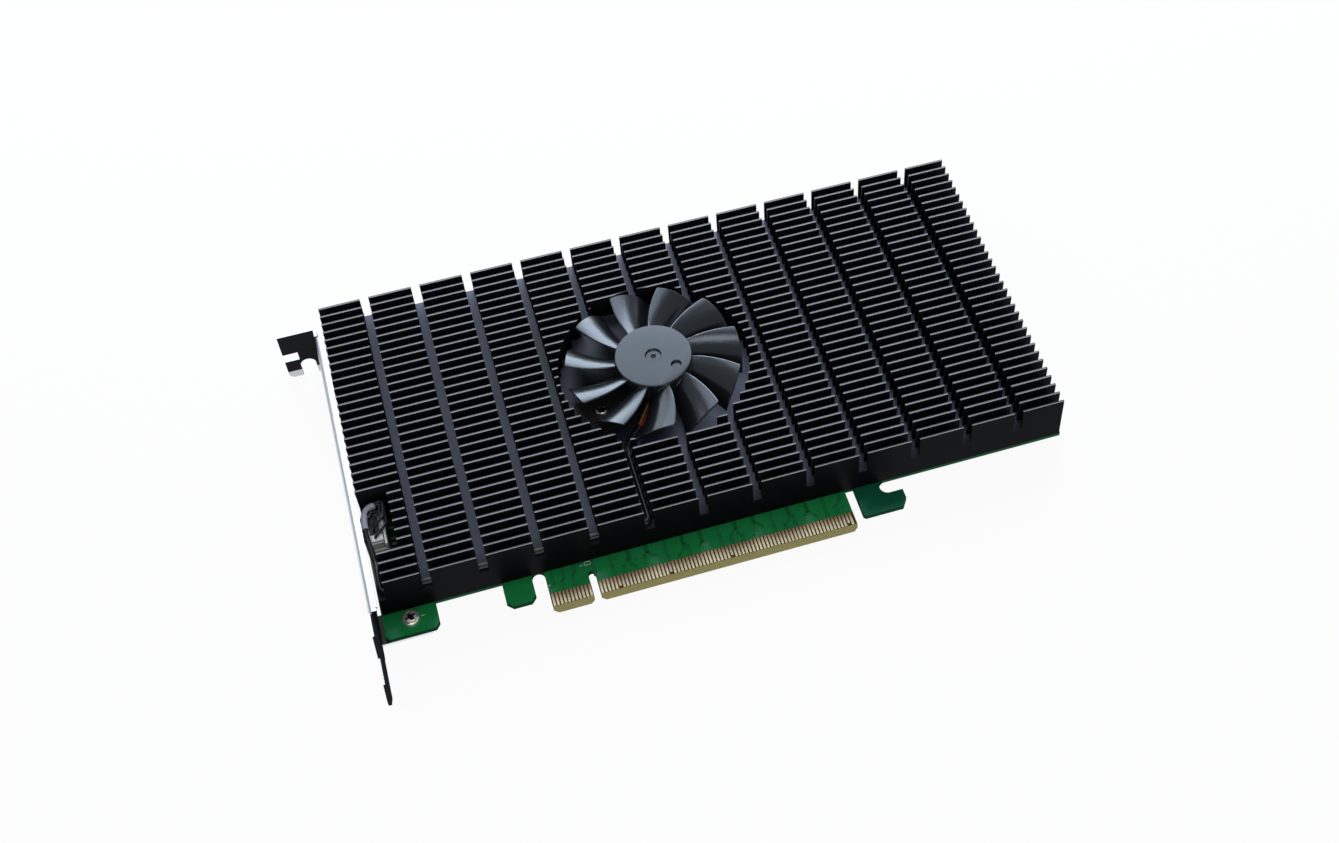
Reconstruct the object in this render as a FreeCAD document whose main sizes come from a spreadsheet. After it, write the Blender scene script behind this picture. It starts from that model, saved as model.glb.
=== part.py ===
"""An adapter card that carries solid-state drives in a long edge slot, with its heat sink and fan.

A FreeCAD macro in millimetres. The frame: X runs along the card away from its bracket, Y from the
edge connector up to the far edge, and Z out of the component side. The origin is the middle of the
connector's key notch, at the tip of the connector, on the board's component face.
"""
import FreeCAD, Part
import math
import os
import Sketcher
from FreeCAD import Placement, Rotation, Vector

# Driving dimensions: alias, value in millimetres, degrees or a count, and what it is.
DIMENSIONS = [
    ("board_thickness", 1.57, "laminate and copper together"),
    ("board_left", -55.9, "board edge beside the bracket"),
    ("board_right", 136.6, "board edge at the far end"),
    ("board_shoulder", 12.9, "long lower edge above the connector tip"),
    ("board_top", 111.15, "upper edge of a full-height card"),
    ("foot_right", -41.5, "right edge of the foot that takes the bracket screw"),
    ("foot_bottom", 4.9, "lower edge of that foot"),
    ("guide_left", -23.6, "left edge of the guide beside the connector"),
    ("guide_right", -15.6, "right edge of that guide"),
    ("guide_bottom", 4.85, "lower edge of that guide"),
    ("relief_radius", 1.75, "round relief between guide and connector"),
    ("key_width", 1.9, "width of the key notch"),
    ("key_top", 8.15, "centre of the round top of the key notch"),
    ("short_tongue", 11.15, "width of the connector's short part"),
    ("long_tongue", 71.65, "width of the connector's long part"),
    ("bevel_length", 1.3, "lead-in bevel along the connector tip"),
    ("bevel_depth", 0.47, "how deep that bevel goes at the tip"),
    ("tongue_corner", 1.3, "chamfer on the connector's outer corners"),
    ("key_corner", 1.1, "chamfer on its corners beside the key notch"),
    ("hook_left", 75.1, "near side of the retention hook"),
    ("hook_right", 88.1, "far side of the retention hook"),
    ("hook_bottom", 3.1, "lower edge of the retention hook"),
    ("hook_shelf", 8.45, "top of the hook's arm"),
    ("hook_throat", 84.4, "centre of the round end of the hook's mouth"),
    ("contact_pitch", 1.0, "from contact to contact"),
    ("contact_width", 0.6, "width of a contact"),
    ("contact_low", 1.65, "lower end of a contact"),
    ("contact_short_low", 2.35, "lower end of the contacts that mate last"),
    ("contact_high", 5.55, "upper end of a contact"),
    ("contact_thickness", 0.05, "gold over copper"),
    ("first_contact", 1.5, "key centre to the nearest contact"),
    ("sink_left", -55.35, "heat sink end beside the bracket"),
    ("sink_front", 12.6, "heat sink side above the connector"),
    ("sink_length", 191.5, "along the card"),
    ("deck_height", 7.2, "board to the floor between the fins"),
    ("fin_height", 8.0, "floor to the fin tips"),
    ("fin_thickness", 0.55, "of one fin"),
    ("fin_pitch", 3.0, "from fin to fin"),
    ("fin_count", 33, "fins side by side"),
    ("channel_first", -42.1, "centre of the first cross channel"),
    ("channel_pitch", 15.0, "from channel to channel"),
    ("channel_count", 12, "cross channels"),
    ("channel_width", 2.5, "of one cross channel"),
    ("fan_x", 32.2, "fan axis along the card, beside the sixth channel's middle"),
    ("fan_y", 61.1, "fan axis across the card, on the middle fin"),
    ("fan_well_radius", 27.0, "round well in the fins"),
    ("cable_bay_right", -47.2, "far side of the bay over the fan header"),
    ("cable_bay_front", 23.7, "near side of that bay"),
    ("cable_bay_back", 42.5, "back of that bay"),
    ("step_width", 2.25, "how far the last four fins stop short at the left end"),
    ("step_back", 20.8, "where the stepped strip meets the bay"),
    ("cavity_height", 4.4, "room for the drives under the heat sink"),
    ("cavity_left", -45.4, "end of the cavity beside the header bay"),
    ("skirt", 2.0, "wall round the cavity"),
    ("boss_radius", 3.0, "screw boss inside the cavity"),
    ("boss_left", -50.5, "left column of heat sink screws"),
    ("boss_right", 131.3, "right column of heat sink screws"),
    ("boss_front", 17.5, "front row of heat sink screws"),
    ("boss_back", 104.5, "back row of heat sink screws"),
    ("boss_offset", 48.4, "inner screws from the middle of the heat sink"),
    ("plate_outer", -58.0, "outer face of the bracket"),
    ("plate_thickness", 0.86, "sheet of the bracket"),
    ("plate_low", -3.9, "bracket edge on the solder side"),
    ("plate_high", 14.5, "bracket edge on the component side"),
    ("bend_inside", 0.3, "inner radius of each fold"),
    ("flange_face", 102.3, "seating face of the flange"),
    ("flange_reach", -68.4, "free edge of the flange"),
    ("lip_reach", -55.7, "free edge of the folded lip"),
    ("lip_start", 5.5, "lower end of the lip"),
    ("lip_end", 99.5, "upper end of the lip"),
    ("tongue_tip", -16.9, "lower end of the bracket's tongue"),
    ("notch_x", -62.15, "centre of the flange's screw notch"),
    ("notch_z", 0.5, "centre of its round end"),
    ("notch_radius", 2.2, "half its width"),
    ("tab_reach", -43.8, "free edge of the board tabs"),
    ("tab_length", 9.0, "of a board tab along the bracket"),
    ("bracket_screw_x", -48.6, "column of the bracket screws"),
    ("bracket_screw_low", 9.4, "lower bracket screw"),
    ("bracket_screw_high", 94.4, "upper bracket screw"),
    ("screw_hole_radius", 1.5, "clearance hole in the board"),
    ("screw_thread_radius", 1.25, "shank of the board's screws, and the threads that they turn in"),
    ("sink_thread_depth", 5.2, "of a heat sink screw's thread"),
    ("fan_hole_radius", 1.2, "clearance hole in an ear of the fan base"),
    ("fan_thread_radius", 1.0, "shank of a fan screw, and the thread that it turns in"),
    ("pin_radius", 0.35, "header pin"),
    ("pin_hole_radius", 0.45, "plated hole for a header pin"),
    ("hub_radius", 10.9, "fan hub"),
    ("hub_bottom", 9.5, "open rim of the hub"),
    ("hub_top", 17.7, "face of the hub"),
    ("hub_wall", 1.4, "plastic round and over the steel cup"),
    ("blade_count", 11, "blades"),
    ("blade_radius", 24.8, "swept radius of the blades"),
    ("blade_top", 17.65, "leading edge"),
    ("blade_bottom", 9.6, "trailing edge"),
    ("blade_first", 38.5, "angle of a leading tip"),
    ("blade_lean", 12.0, "root of the leading edge ahead of its tip, degrees"),
    ("blade_span_root", 32.0, "leading to trailing edge at the root, degrees"),
    ("blade_span_tip", 25.5, "the same at the tip, degrees"),
    ("blade_thickness", 0.95, "thickest part of a blade"),
    ("blade_camber", 0.125, "rise of a blade's middle line, as a share of its chord"),
    ("hub_crown", 0.35, "chamfer round the hub's face"),
    ("hub_recess_radius", 2.2, "round recess in the middle of the hub"),
    ("hub_recess_depth", 0.6, "depth of that recess"),
    ("hub_gate_radius", 0.6, "small pit in the middle of that recess"),
    ("hub_gate_depth", 0.3, "depth of that pit"),
    ("hub_dimple_radius", 1.4, "round dimple beside the recess"),
    ("hub_dimple_depth", 0.75, "depth of that dimple"),
    ("hub_dimple_x", 5.3, "fan axis to the dimple along the card"),
    ("hub_dimple_y", -5.1, "fan axis to the dimple across the card"),
    ("base_thickness", 1.0, "plate of the fan base"),
    ("base_radius", 12.0, "round middle of the fan base"),
    ("ear_radius", 24.6, "outer edge of the base's ears"),
    ("ear_screw_radius", 19.0, "circle of the fan screws"),
    ("ear_count", 2, "ears of the fan base"),
    ("ear_first", 203.0, "angle of the first ear"),
    ("ear_width", 13.0, "across one ear"),
    ("shaft_radius", 0.75, "fan shaft"),
    ("shaft_foot", 8.6, "lower end of the shaft"),
    ("shaft_grip", 0.3, "how far the shaft is pressed into the hub"),
    ("post_height", 5.6, "bearing and its post above the base plate"),
    ("bearing_bore", 0.78, "sleeve bearing bore radius"),
    ("bearing_radius", 2.0, "outside of the sleeve bearing"),
    ("tube_radius", 2.7, "post that holds the bearing and stator"),
    ("sleeve_radius", 0.85, "braided sleeve over the fan wires"),
    ("wire_radius", 0.35, "one fan wire"),
    ("header_x", -52.8, "centre of the fan header"),
    ("header_y", 34.9, "centre of the fan header"),
    ("header_width", 5.5, "header across"),
    ("header_length", 12.4, "header along the card's height"),
    ("header_height", 6.0, "header above the board"),
    ("header_wall", 0.8, "wall of the header"),
    ("plug_top", 8.2, "top of the plug"),
    ("pin_pitch", 2.5, "between the header's pins"),
    ("row_front", 27.0, "centre line of the front pair of drives"),
    ("row_back", 95.0, "centre line of the back pair of drives"),
    ("socket_depth", 8.4, "drive socket along the card"),
    ("socket_width", 21.9, "drive socket across the card"),
    ("socket_height", 3.2, "drive socket above the board"),
    ("socket_left", 32.0, "left sockets start here"),
    ("socket_right", 41.4, "right sockets start here"),
    ("drive_length", 80.0, "edge of a drive to its fixing screw"),
    ("drive_seat", 1.45, "drive standoff height"),
    ("pad_length", 70.0, "thermal pad over a drive"),
    ("pad_width", 19.0, "thermal pad over a drive"),
    ("pad_thickness", 1.0, "thermal pad over a drive"),
    ("chip_side", 23.0, "packet switch package"),
    ("chip_height", 2.6, "packet switch package"),
]

doc = FreeCAD.newDocument("adapter_card")
sheet = doc.addObject("Spreadsheet::Sheet", "dims")
for row, (alias, value, note) in enumerate(DIMENSIONS, start=1):
    sheet.set(f"A{row}", alias)
    sheet.set(f"B{row}", str(value))
    sheet.setAlias(f"B{row}", alias)
    sheet.set(f"C{row}", note)
doc.recompute()

sub_parts = []


def size(alias):
    """The value of one cell."""
    return float(sheet.get(alias))


def bind(thing, formulas):
    """Drives properties from cells; a bare alias stands for its own cell."""
    for name, formula in formulas.items():
        words = str(formula)
        for alias, _, _ in DIMENSIONS:
            words = replace_word(words, alias)
        thing.setExpression(name, words)


def replace_word(words, alias):
    """Puts the sheet's name before every whole-word use of an alias."""
    pieces = words.split(alias)
    joined = pieces[0]
    for piece in pieces[1:]:
        before = joined[-1:] or " "
        after = piece[:1] or " "
        whole = not (before.isalnum() or before in "_.") and not (after.isalnum() or after == "_")
        joined += ("dims." if whole else "") + alias + piece
    return joined


def keep(thing):
    """Marks an object as a finished sub-part; its Label names its file."""
    sub_parts.append(thing)
    return thing


# ---- solids from primitives ------------------------------------------------------------------

def place(thing, x, y, z):
    bind(thing, {"Placement.Base.x": x, "Placement.Base.y": y, "Placement.Base.z": z})
    return thing


def box(name, length, width, height, x, y, z):
    """A block from its low corner."""
    solid = doc.addObject("Part::Box", name)
    bind(solid, {"Length": length, "Width": width, "Height": height})
    return place(solid, x, y, z)


def cylinder(name, radius, height, x, y, z):
    """An upright cylinder from the middle of its foot."""
    solid = doc.addObject("Part::Cylinder", name)
    bind(solid, {"Radius": radius, "Height": height})
    return place(solid, x, y, z)


def cut(name, base, tool):
    result = doc.addObject("Part::Cut", name)
    result.Base = base
    result.Tool = tool
    return result


def fuse(name, solids):
    result = doc.addObject("Part::MultiFuse", name)
    result.Shapes = solids
    return result


def group(name, solids):
    """Separate solids that share one node."""
    result = doc.addObject("Part::Compound", name)
    result.Links = solids
    return result


def ring(name, outer, inner, height, x, y, z):
    """A flat ring or a sleeve."""
    body = cylinder(name + "_outer", outer, height, x, y, z)
    hole = cylinder(name + "_inner", inner, f"({height}) + 2", x, y, f"({z}) - 1")
    return cut(name, body, hole)


# ---- solids from sketches --------------------------------------------------------------------

def new_body(name):
    return doc.addObject("PartDesign::Body", name)


def origin_plane(body, role):
    for feature in body.Origin.OriginFeatures:
        if feature.Role == role:
            return feature
    raise RuntimeError("no such plane")


def new_sketch(body, name, role, x="0", y="0", z="0"):
    """A sketch whose own origin sits at x, y on a plane parallel to an origin plane."""
    sketch = body.newObject("Sketcher::SketchObject", name)
    sketch.AttachmentSupport = (origin_plane(body, role), [""])
    sketch.MapMode = "FlatFace"
    bind(sketch, {"AttachmentOffset.Base.x": x, "AttachmentOffset.Base.y": y,
                  "AttachmentOffset.Base.z": z})
    return sketch


def rectangle(sketch, width, depth):
    """A rectangle with its low corner on the sketch's origin and both sizes driven by cells."""
    corners = [Vector(0, 0, 0), Vector(5, 0, 0), Vector(5, 5, 0), Vector(0, 5, 0)]
    for index in range(4):
        sketch.addGeometry(Part.LineSegment(corners[index], corners[(index + 1) % 4]), False)
    for index in range(4):
        sketch.addConstraint(Sketcher.Constraint("Coincident", index, 2, (index + 1) % 4, 1))
        kind = "Horizontal" if index % 2 == 0 else "Vertical"
        sketch.addConstraint(Sketcher.Constraint(kind, index))
    sketch.addConstraint(Sketcher.Constraint("Coincident", 0, 1, -1, 1))
    across = sketch.addConstraint(Sketcher.Constraint("DistanceX", 0, 1, 0, 2, 5.0))
    along = sketch.addConstraint(Sketcher.Constraint("DistanceY", 1, 1, 1, 2, 5.0))
    sketch.renameConstraint(across, "width")
    sketch.renameConstraint(along, "depth")
    bind(sketch, {"Constraints.width": width, "Constraints.depth": depth})
    return sketch


def circles(sketch, centres, radius):
    """Circles at worked-out centres that share one driven radius."""
    for number, (x, y) in enumerate(centres):
        index = sketch.addGeometry(Part.Circle(Vector(x, y, 0), Vector(0, 0, 1), 1.0), False)
        tie = sketch.addConstraint(Sketcher.Constraint("Radius", index, 1.0))
        sketch.renameConstraint(tie, f"radius_{number}")
        bind(sketch, {f"Constraints.radius_{number}": radius})
    return sketch


def outline(sketch, steps):
    """A closed outline. Each step is an end point, or a mid point and an end point of an arc."""
    here = Vector(*steps[0], 0)
    for step in steps[1:] + [steps[0]]:
        end = Vector(step[-2], step[-1], 0)
        if (end - here).Length < 1e-6:
            continue
        if len(step) == 2:
            piece = Part.LineSegment(here, end)
        else:
            piece = Part.Arc(here, Vector(step[0], step[1], 0), end)
        sketch.addGeometry(piece, False)
        here = end
    return sketch


def pad(body, name, sketch, length):
    feature = body.newObject("PartDesign::Pad", name)
    feature.Refine = False
    feature.Profile = sketch
    bind(feature, {"Length": length})
    body.Tip = feature
    return feature


def pocket(body, name, sketch, length, upward=False):
    """Cuts against the sketch's normal, or along it when upward is set."""
    feature = body.newObject("PartDesign::Pocket", name)
    feature.Refine = False
    feature.Profile = sketch
    feature.Reversed = upward
    bind(feature, {"Length": length})
    body.Tip = feature
    return feature


def repeat(body, name, original, sketch, axis, pitch, count):
    """A row of copies of one feature along a sketch axis."""
    feature = body.newObject("PartDesign::LinearPattern", name)
    feature.Refine = False
    feature.Originals = [original]
    feature.Direction = (sketch, [axis])
    bind(feature, {"Length": f"({pitch}) * (({count}) - 1)", "Occurrences": count})
    body.Tip = feature
    return feature


# ---- board and edge connector ----------------------------------------------------------------

def board_outline():
    """The board seen from its component side, anticlockwise from the foot beside the bracket."""
    left = size("board_left")
    right = size("board_right")
    shoulder = size("board_shoulder")
    top = size("board_top")
    foot = size("foot_bottom")
    foot_right = size("foot_right")
    guide_left = size("guide_left")
    guide_right = size("guide_right")
    guide_low = size("guide_bottom")
    relief = size("relief_radius")
    half_key = size("key_width") / 2
    key_top = size("key_top")
    corner = size("tongue_corner")
    key_corner = size("key_corner")
    short_left = -half_key - size("short_tongue")
    long_right = half_key + size("long_tongue")
    hook_left = size("hook_left")
    hook_right = size("hook_right")
    hook_low = size("hook_bottom")
    shelf = size("hook_shelf")
    throat = size("hook_throat")
    mouth = (shoulder - shelf) / 2
    relief_x = short_left - relief
    small = 0.6
    return [
        (left, foot + 1.0),
        (left + 1.0, foot),
        (foot_right - 1.2, foot),
        (foot_right, foot + 1.5),
        (foot_right, shoulder),
        (guide_left, shoulder),
        (guide_left, guide_low + 1.6),
        (guide_left + 1.6, guide_low),
        (guide_right - 1.4, guide_low),
        (guide_right, guide_low + 1.6),
        (guide_right, shoulder + 0.4 - relief),
        (relief_x, shoulder + 0.4, short_left, shoulder + 0.4 - relief),
        (short_left, corner),
        (short_left + corner, 0.0),
        (-half_key - key_corner, 0.0),
        (-half_key, key_corner),
        (-half_key, key_top),
        (0.0, key_top + half_key, half_key, key_top),
        (half_key, key_corner),
        (half_key + key_corner, 0.0),
        (long_right - corner, 0.0),
        (long_right, corner),
        (long_right, shoulder),
        (hook_left, shoulder),
        (hook_left, hook_low + small),
        (hook_left + small, hook_low),
        (hook_right - 1.6, hook_low),
        (hook_right, hook_low + 2.4),
        (hook_right, shelf - 0.2),
        (hook_right - 0.2, shelf),
        (throat, shelf),
        (throat - mouth, shelf + mouth, throat, shoulder),
        (right, shoulder),
        (right, top),
        (left, top),
    ]


def sink_screw_places():
    """Six screws hold the heat sink: one at each corner and two inside."""
    middle = size("sink_left") + size("sink_length") / 2
    places = [(x, y) for x in (size("boss_left"), size("boss_right"))
              for y in (size("boss_front"), size("boss_back"))]
    offset = size("boss_offset")
    return places + [(middle - offset, size("fan_y")), (middle + offset, size("fan_y"))]


def bracket_screw_places():
    return [(size("bracket_screw_x"), size("bracket_screw_low")),
            (size("bracket_screw_x"), size("bracket_screw_high"))]


def build_board():
    """The board: one outline, screw holes, and the bevel along the connector's tip."""
    body = new_body("circuit_board")
    plate = new_sketch(body, "board_sketch", "XY_Plane", z="-board_thickness")
    outline(plate, board_outline())
    pad(body, "board_pad", plate, "board_thickness")
    holes = new_sketch(body, "board_holes", "XY_Plane")
    circles(holes, sink_screw_places() + bracket_screw_places(), "screw_hole_radius")
    pocket(body, "board_drilling", holes, "board_thickness")
    pin_holes = new_sketch(body, "pin_holes", "XY_Plane")
    circles(pin_holes, pin_places(), "pin_hole_radius")
    pocket(body, "pin_drilling", pin_holes, "board_thickness")
    for side, face, tip in (("upper", 0.0, -1.0), ("lower", -size("board_thickness"), 1.0)):
        wedge = new_sketch(body, f"{side}_bevel_sketch", "YZ_Plane", z="-short_tongue - key_width / 2 - 1")
        depth = tip * size("bevel_depth")
        outline(wedge, [(-1.0, face - tip), (-1.0, face + depth * (1 + 1 / size("bevel_length"))),
                        (size("bevel_length"), face), (size("bevel_length"), face - tip)])
        pocket(body, f"{side}_bevel", wedge, "short_tongue + key_width + long_tongue + 2", upward=True)
    return keep(body)


def contact_places():
    """Contact numbers and their places along the connector."""
    start = size("first_contact")
    pitch = size("contact_pitch")
    short_row = [(number, -start - (11 - number) * pitch) for number in range(1, 12)]
    long_row = [(number, start + (number - 12) * pitch) for number in range(12, 83)]
    return short_row + long_row


def build_contacts(name, z, mate_last):
    """One side's row of gold contacts; the few that mate last stop short of the tip."""
    body = new_body(name)
    sketch = new_sketch(body, name + "_sketch", "XY_Plane", z=z)
    half = size("contact_width") / 2
    for number, middle in contact_places():
        low = size("contact_short_low") if number in mate_last else size("contact_low")
        high = size("contact_high")
        corners = [(middle - half, low), (middle + half, low), (middle + half, high), (middle - half, high)]
        outline(sketch, corners)
    feature = pad(body, name + "_pad", sketch, "contact_thickness")
    body.AllowCompound = True
    feature.AllowMultiFace = True
    return keep(body)


# ---- heat sink -------------------------------------------------------------------------------

def build_heatsink():
    """An extruded comb of fins, cross cut, with a round well for the fan and a drive cavity below."""
    body = new_body("heatsink")
    top = "deck_height + fin_height"
    span = "fin_pitch * (fin_count - 1) + fin_thickness"

    block = new_sketch(body, "sink_block_sketch", "XY_Plane", "sink_left", "sink_front")
    rectangle(block, "sink_length", span)
    pad(body, "sink_block", block, "deck_height")

    fin = new_sketch(body, "fin_sketch", "XY_Plane", "sink_left", "sink_front", "deck_height")
    rectangle(fin, "sink_length", "fin_thickness")
    one_fin = pad(body, "fin", fin, "fin_height")
    repeat(body, "fins", one_fin, fin, "V_Axis", "fin_pitch", "fin_count")

    channel = new_sketch(body, "channel_sketch", "XY_Plane", "channel_first - channel_width / 2",
                         "sink_front - 1", top)
    rectangle(channel, "channel_width", f"{span} + 2")
    one_channel = pocket(body, "channel", channel, "fin_height")
    repeat(body, "channels", one_channel, channel, "H_Axis", "channel_pitch", "channel_count")

    well = new_sketch(body, "well_sketch", "XY_Plane", "fan_x", "fan_y", top)
    circles(well, [(0, 0)], "fan_well_radius")
    pocket(body, "fan_well", well, "fin_height")

    bay = new_sketch(body, "bay_sketch", "XY_Plane", "sink_left - 1", "cable_bay_front", top)
    rectangle(bay, "cable_bay_right - sink_left + 1", "cable_bay_back - cable_bay_front")
    pocket(body, "header_bay", bay, f"{top} + 1")

    step = new_sketch(body, "step_sketch", "XY_Plane", "sink_left - 1", "sink_front - 1", top)
    rectangle(step, "step_width + 1", "cable_bay_front - sink_front + 2")
    pocket(body, "fin_step", step, "fin_height")
    slot = new_sketch(body, "slot_sketch", "XY_Plane", "sink_left - 1", "step_back", top)
    rectangle(slot, "step_width + 1", "cable_bay_front - step_back + 1")
    pocket(body, "bay_slot", slot, f"{top} + 1")

    cavity = new_sketch(body, "cavity_sketch", "XY_Plane", "cavity_left", "sink_front + skirt")
    rectangle(cavity, "sink_left + sink_length - skirt - cavity_left", f"{span} - 2 * skirt")
    pocket(body, "drive_cavity", cavity, "cavity_height", upward=True)
    side = new_sketch(body, "side_cavity_sketch", "XY_Plane", "sink_left + skirt", "cable_bay_back + skirt")
    rectangle(side, "cavity_left - sink_left - skirt + 1",
              f"sink_front + {span} - 2 * skirt - cable_bay_back")
    pocket(body, "side_cavity", side, "cavity_height", upward=True)

    bosses = new_sketch(body, "boss_sketch", "XY_Plane")
    circles(bosses, sink_screw_places(), "boss_radius")
    pad(body, "bosses", bosses, "cavity_height")
    threads = new_sketch(body, "thread_sketch", "XY_Plane")
    circles(threads, sink_screw_places(), "screw_thread_radius")
    pocket(body, "sink_threads", threads, "sink_thread_depth", upward=True)
    fan_holes = new_sketch(body, "fan_hole_sketch", "XY_Plane", z="deck_height")
    circles(fan_holes, fan_screw_places(), "fan_thread_radius")
    pocket(body, "fan_threads", fan_holes, "deck_height - cavity_height")
    return keep(body)


# ---- bracket ---------------------------------------------------------------------------------

def fold(centre, inner, outer, from_angle, to_angle):
    """Mid and end points of the outer and inner arcs of a fold, in that order."""
    middle = (from_angle + to_angle) / 2
    points = []
    for radius, last in ((outer, to_angle), (inner, from_angle)):
        for angle in (middle, last):
            turn = math.radians(angle)
            points.append(centre[0] + radius * math.cos(turn))
            points.append(centre[1] + radius * math.sin(turn))
    return tuple(points[:4]), tuple(points[4:])


def build_bracket():
    """One folded sheet: the slot plate, its flange, the stiffening lip and two tabs for the board."""
    outer = size("plate_outer")
    sheet_metal = size("plate_thickness")
    inner = outer + sheet_metal
    inside = size("bend_inside")
    outside = inside + sheet_metal
    low = size("plate_low")
    high = size("plate_high")
    fold_high = high - outside
    board_under = -size("board_thickness")
    tab_edge = board_under + inside
    face = size("flange_face")
    flange_fold = face - inside
    tip = size("tongue_tip")
    lip_start = size("lip_start")
    lip_end = size("lip_end")
    tab = size("tab_length")
    tab_low = size("bracket_screw_low") - tab / 2
    tab_high = size("bracket_screw_high") - tab / 2
    relief = 0.3

    body = new_body("bracket")
    plate = new_sketch(body, "plate_sketch", "YZ_Plane", z="plate_outer")
    outline(plate, [
        (flange_fold, low),
        (tab_high + tab + relief, low),
        (tab_high + tab + relief, tab_edge),
        (tab_high - relief, tab_edge),
        (tab_high - relief, low),
        (tab_low + tab + relief, low),
        (tab_low + tab + relief, tab_edge),
        (0.8, tab_edge),
        (-1.2, 0.3),
        (tip + 4.6, 0.3),
        (tip, 5.4),
        (tip, 7.6),
        (tip + 3.4, 10.3),
        (-5.8, 10.3),
        (-1.7, high),
        (lip_start - relief, high),
        (lip_start - relief, fold_high),
        (lip_end + relief, fold_high),
        (lip_end + relief, high),
        (flange_fold, high),
    ])
    pad(body, "plate", plate, "plate_thickness")

    big, small = fold((inner + inside, fold_high), inside, outside, 180, 90)
    lip = new_sketch(body, "lip_sketch", "XZ_Plane", z="-lip_end")
    reach = size("lip_reach")
    outline(lip, [(outer, fold_high - 1), (outer, fold_high), big, (reach, high),
                  (reach, high - sheet_metal), (inner + inside, high - sheet_metal), small,
                  (inner, fold_high - 1)])
    pad(body, "lip", lip, "lip_end - lip_start")

    for name, start in (("low", "bracket_screw_low"), ("high", "bracket_screw_high")):
        big, small = fold((inner + inside, tab_edge), inside, outside, 180, 270)
        board_tab = new_sketch(body, f"{name}_tab_sketch", "XZ_Plane", z=f"-({start} + tab_length / 2)")
        reach = size("tab_reach")
        outline(board_tab, [(outer, tab_edge + 1), (outer, tab_edge), big,
                            (reach, board_under - sheet_metal), (reach, board_under),
                            (inner + inside, board_under), small, (inner, tab_edge + 1)])
        pad(body, f"{name}_tab", board_tab, "tab_length")
    tab_holes = new_sketch(body, "tab_hole_sketch", "XY_Plane", z="-board_thickness")
    circles(tab_holes, bracket_screw_places(), "screw_thread_radius")
    pocket(body, "tab_threads", tab_holes, "plate_thickness")

    big, small = fold((outer - inside, flange_fold), inside, outside, 0, 90)
    flange = new_sketch(body, "flange_sketch", "XY_Plane", z="plate_low")
    reach = size("flange_reach")
    outline(flange, [(inner, flange_fold - 1), (inner, flange_fold), big, (reach, face + sheet_metal),
                     (reach, face), (outer - inside, face), small, (outer, flange_fold - 1)])
    pad(body, "flange", flange, "plate_high - plate_low")

    notch_x = size("notch_x")
    notch_z = size("notch_z")
    notch = size("notch_radius")
    shape = new_sketch(body, "notch_sketch", "XZ_Plane", z="-flange_face - plate_thickness - 1")
    outline(shape, [(notch_x - notch, low - 1), (notch_x + notch, low - 1), (notch_x + notch, notch_z),
                    (notch_x, notch_z + notch, notch_x - notch, notch_z)])
    pocket(body, "screw_notch", shape, "plate_thickness + 2", upward=True)
    key = new_sketch(body, "key_slot_sketch", "XZ_Plane", z="-flange_face - plate_thickness - 1")
    key_low, key_high, key_depth = 3.4, 6.6, 4.3
    outline(key, [(reach - 1, key_low), (reach + key_depth, key_low), (reach + key_depth, key_high),
                  (reach - 1, key_high)])
    pocket(body, "key_slot", key, "plate_thickness + 2", upward=True)
    corner = new_sketch(body, "corner_sketch", "XZ_Plane", z="-flange_face - plate_thickness - 1")
    bite = 1.9
    outline(corner, [(reach - 1, low - 1), (reach + bite, low - 1), (reach + bite, low),
                     (reach + bite * 0.29, low + bite * 0.29, reach, low + bite), (reach - 1, low + bite)])
    pocket(body, "round_corner", corner, "plate_thickness + 2", upward=True)

    vents = new_sketch(body, "vent_sketch", "YZ_Plane", z="plate_outer - 1")
    slot = 1.35
    length = 8.6
    first_row = 20.0
    row_pitch = 12.0
    heights = (2.6, 6.6, 10.4)
    for row in range(6):
        start_y = first_row + row * row_pitch
        for middle_z in heights:
            outline(vents, [(start_y, middle_z - slot), (start_y + length, middle_z - slot),
                            (start_y + length + slot, middle_z, start_y + length, middle_z + slot),
                            (start_y, middle_z + slot),
                            (start_y - slot, middle_z, start_y, middle_z - slot)])
    pocket(body, "vents", vents, "plate_thickness + 2", upward=True)
    return keep(body)


# ---- screws ----------------------------------------------------------------------------------

def cross_recess(name, width, length, depth, x, y, z):
    """A Phillips recess: two crossed slots."""
    along = box(name + "_slot_x", length, width, depth,
                f"{x} - ({length}) / 2", f"{y} - ({width}) / 2", z)
    across = box(name + "_slot_y", width, length, depth,
                 f"{x} - ({width}) / 2", f"{y} - ({length}) / 2", z)
    return fuse(name, [along, across])


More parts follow.
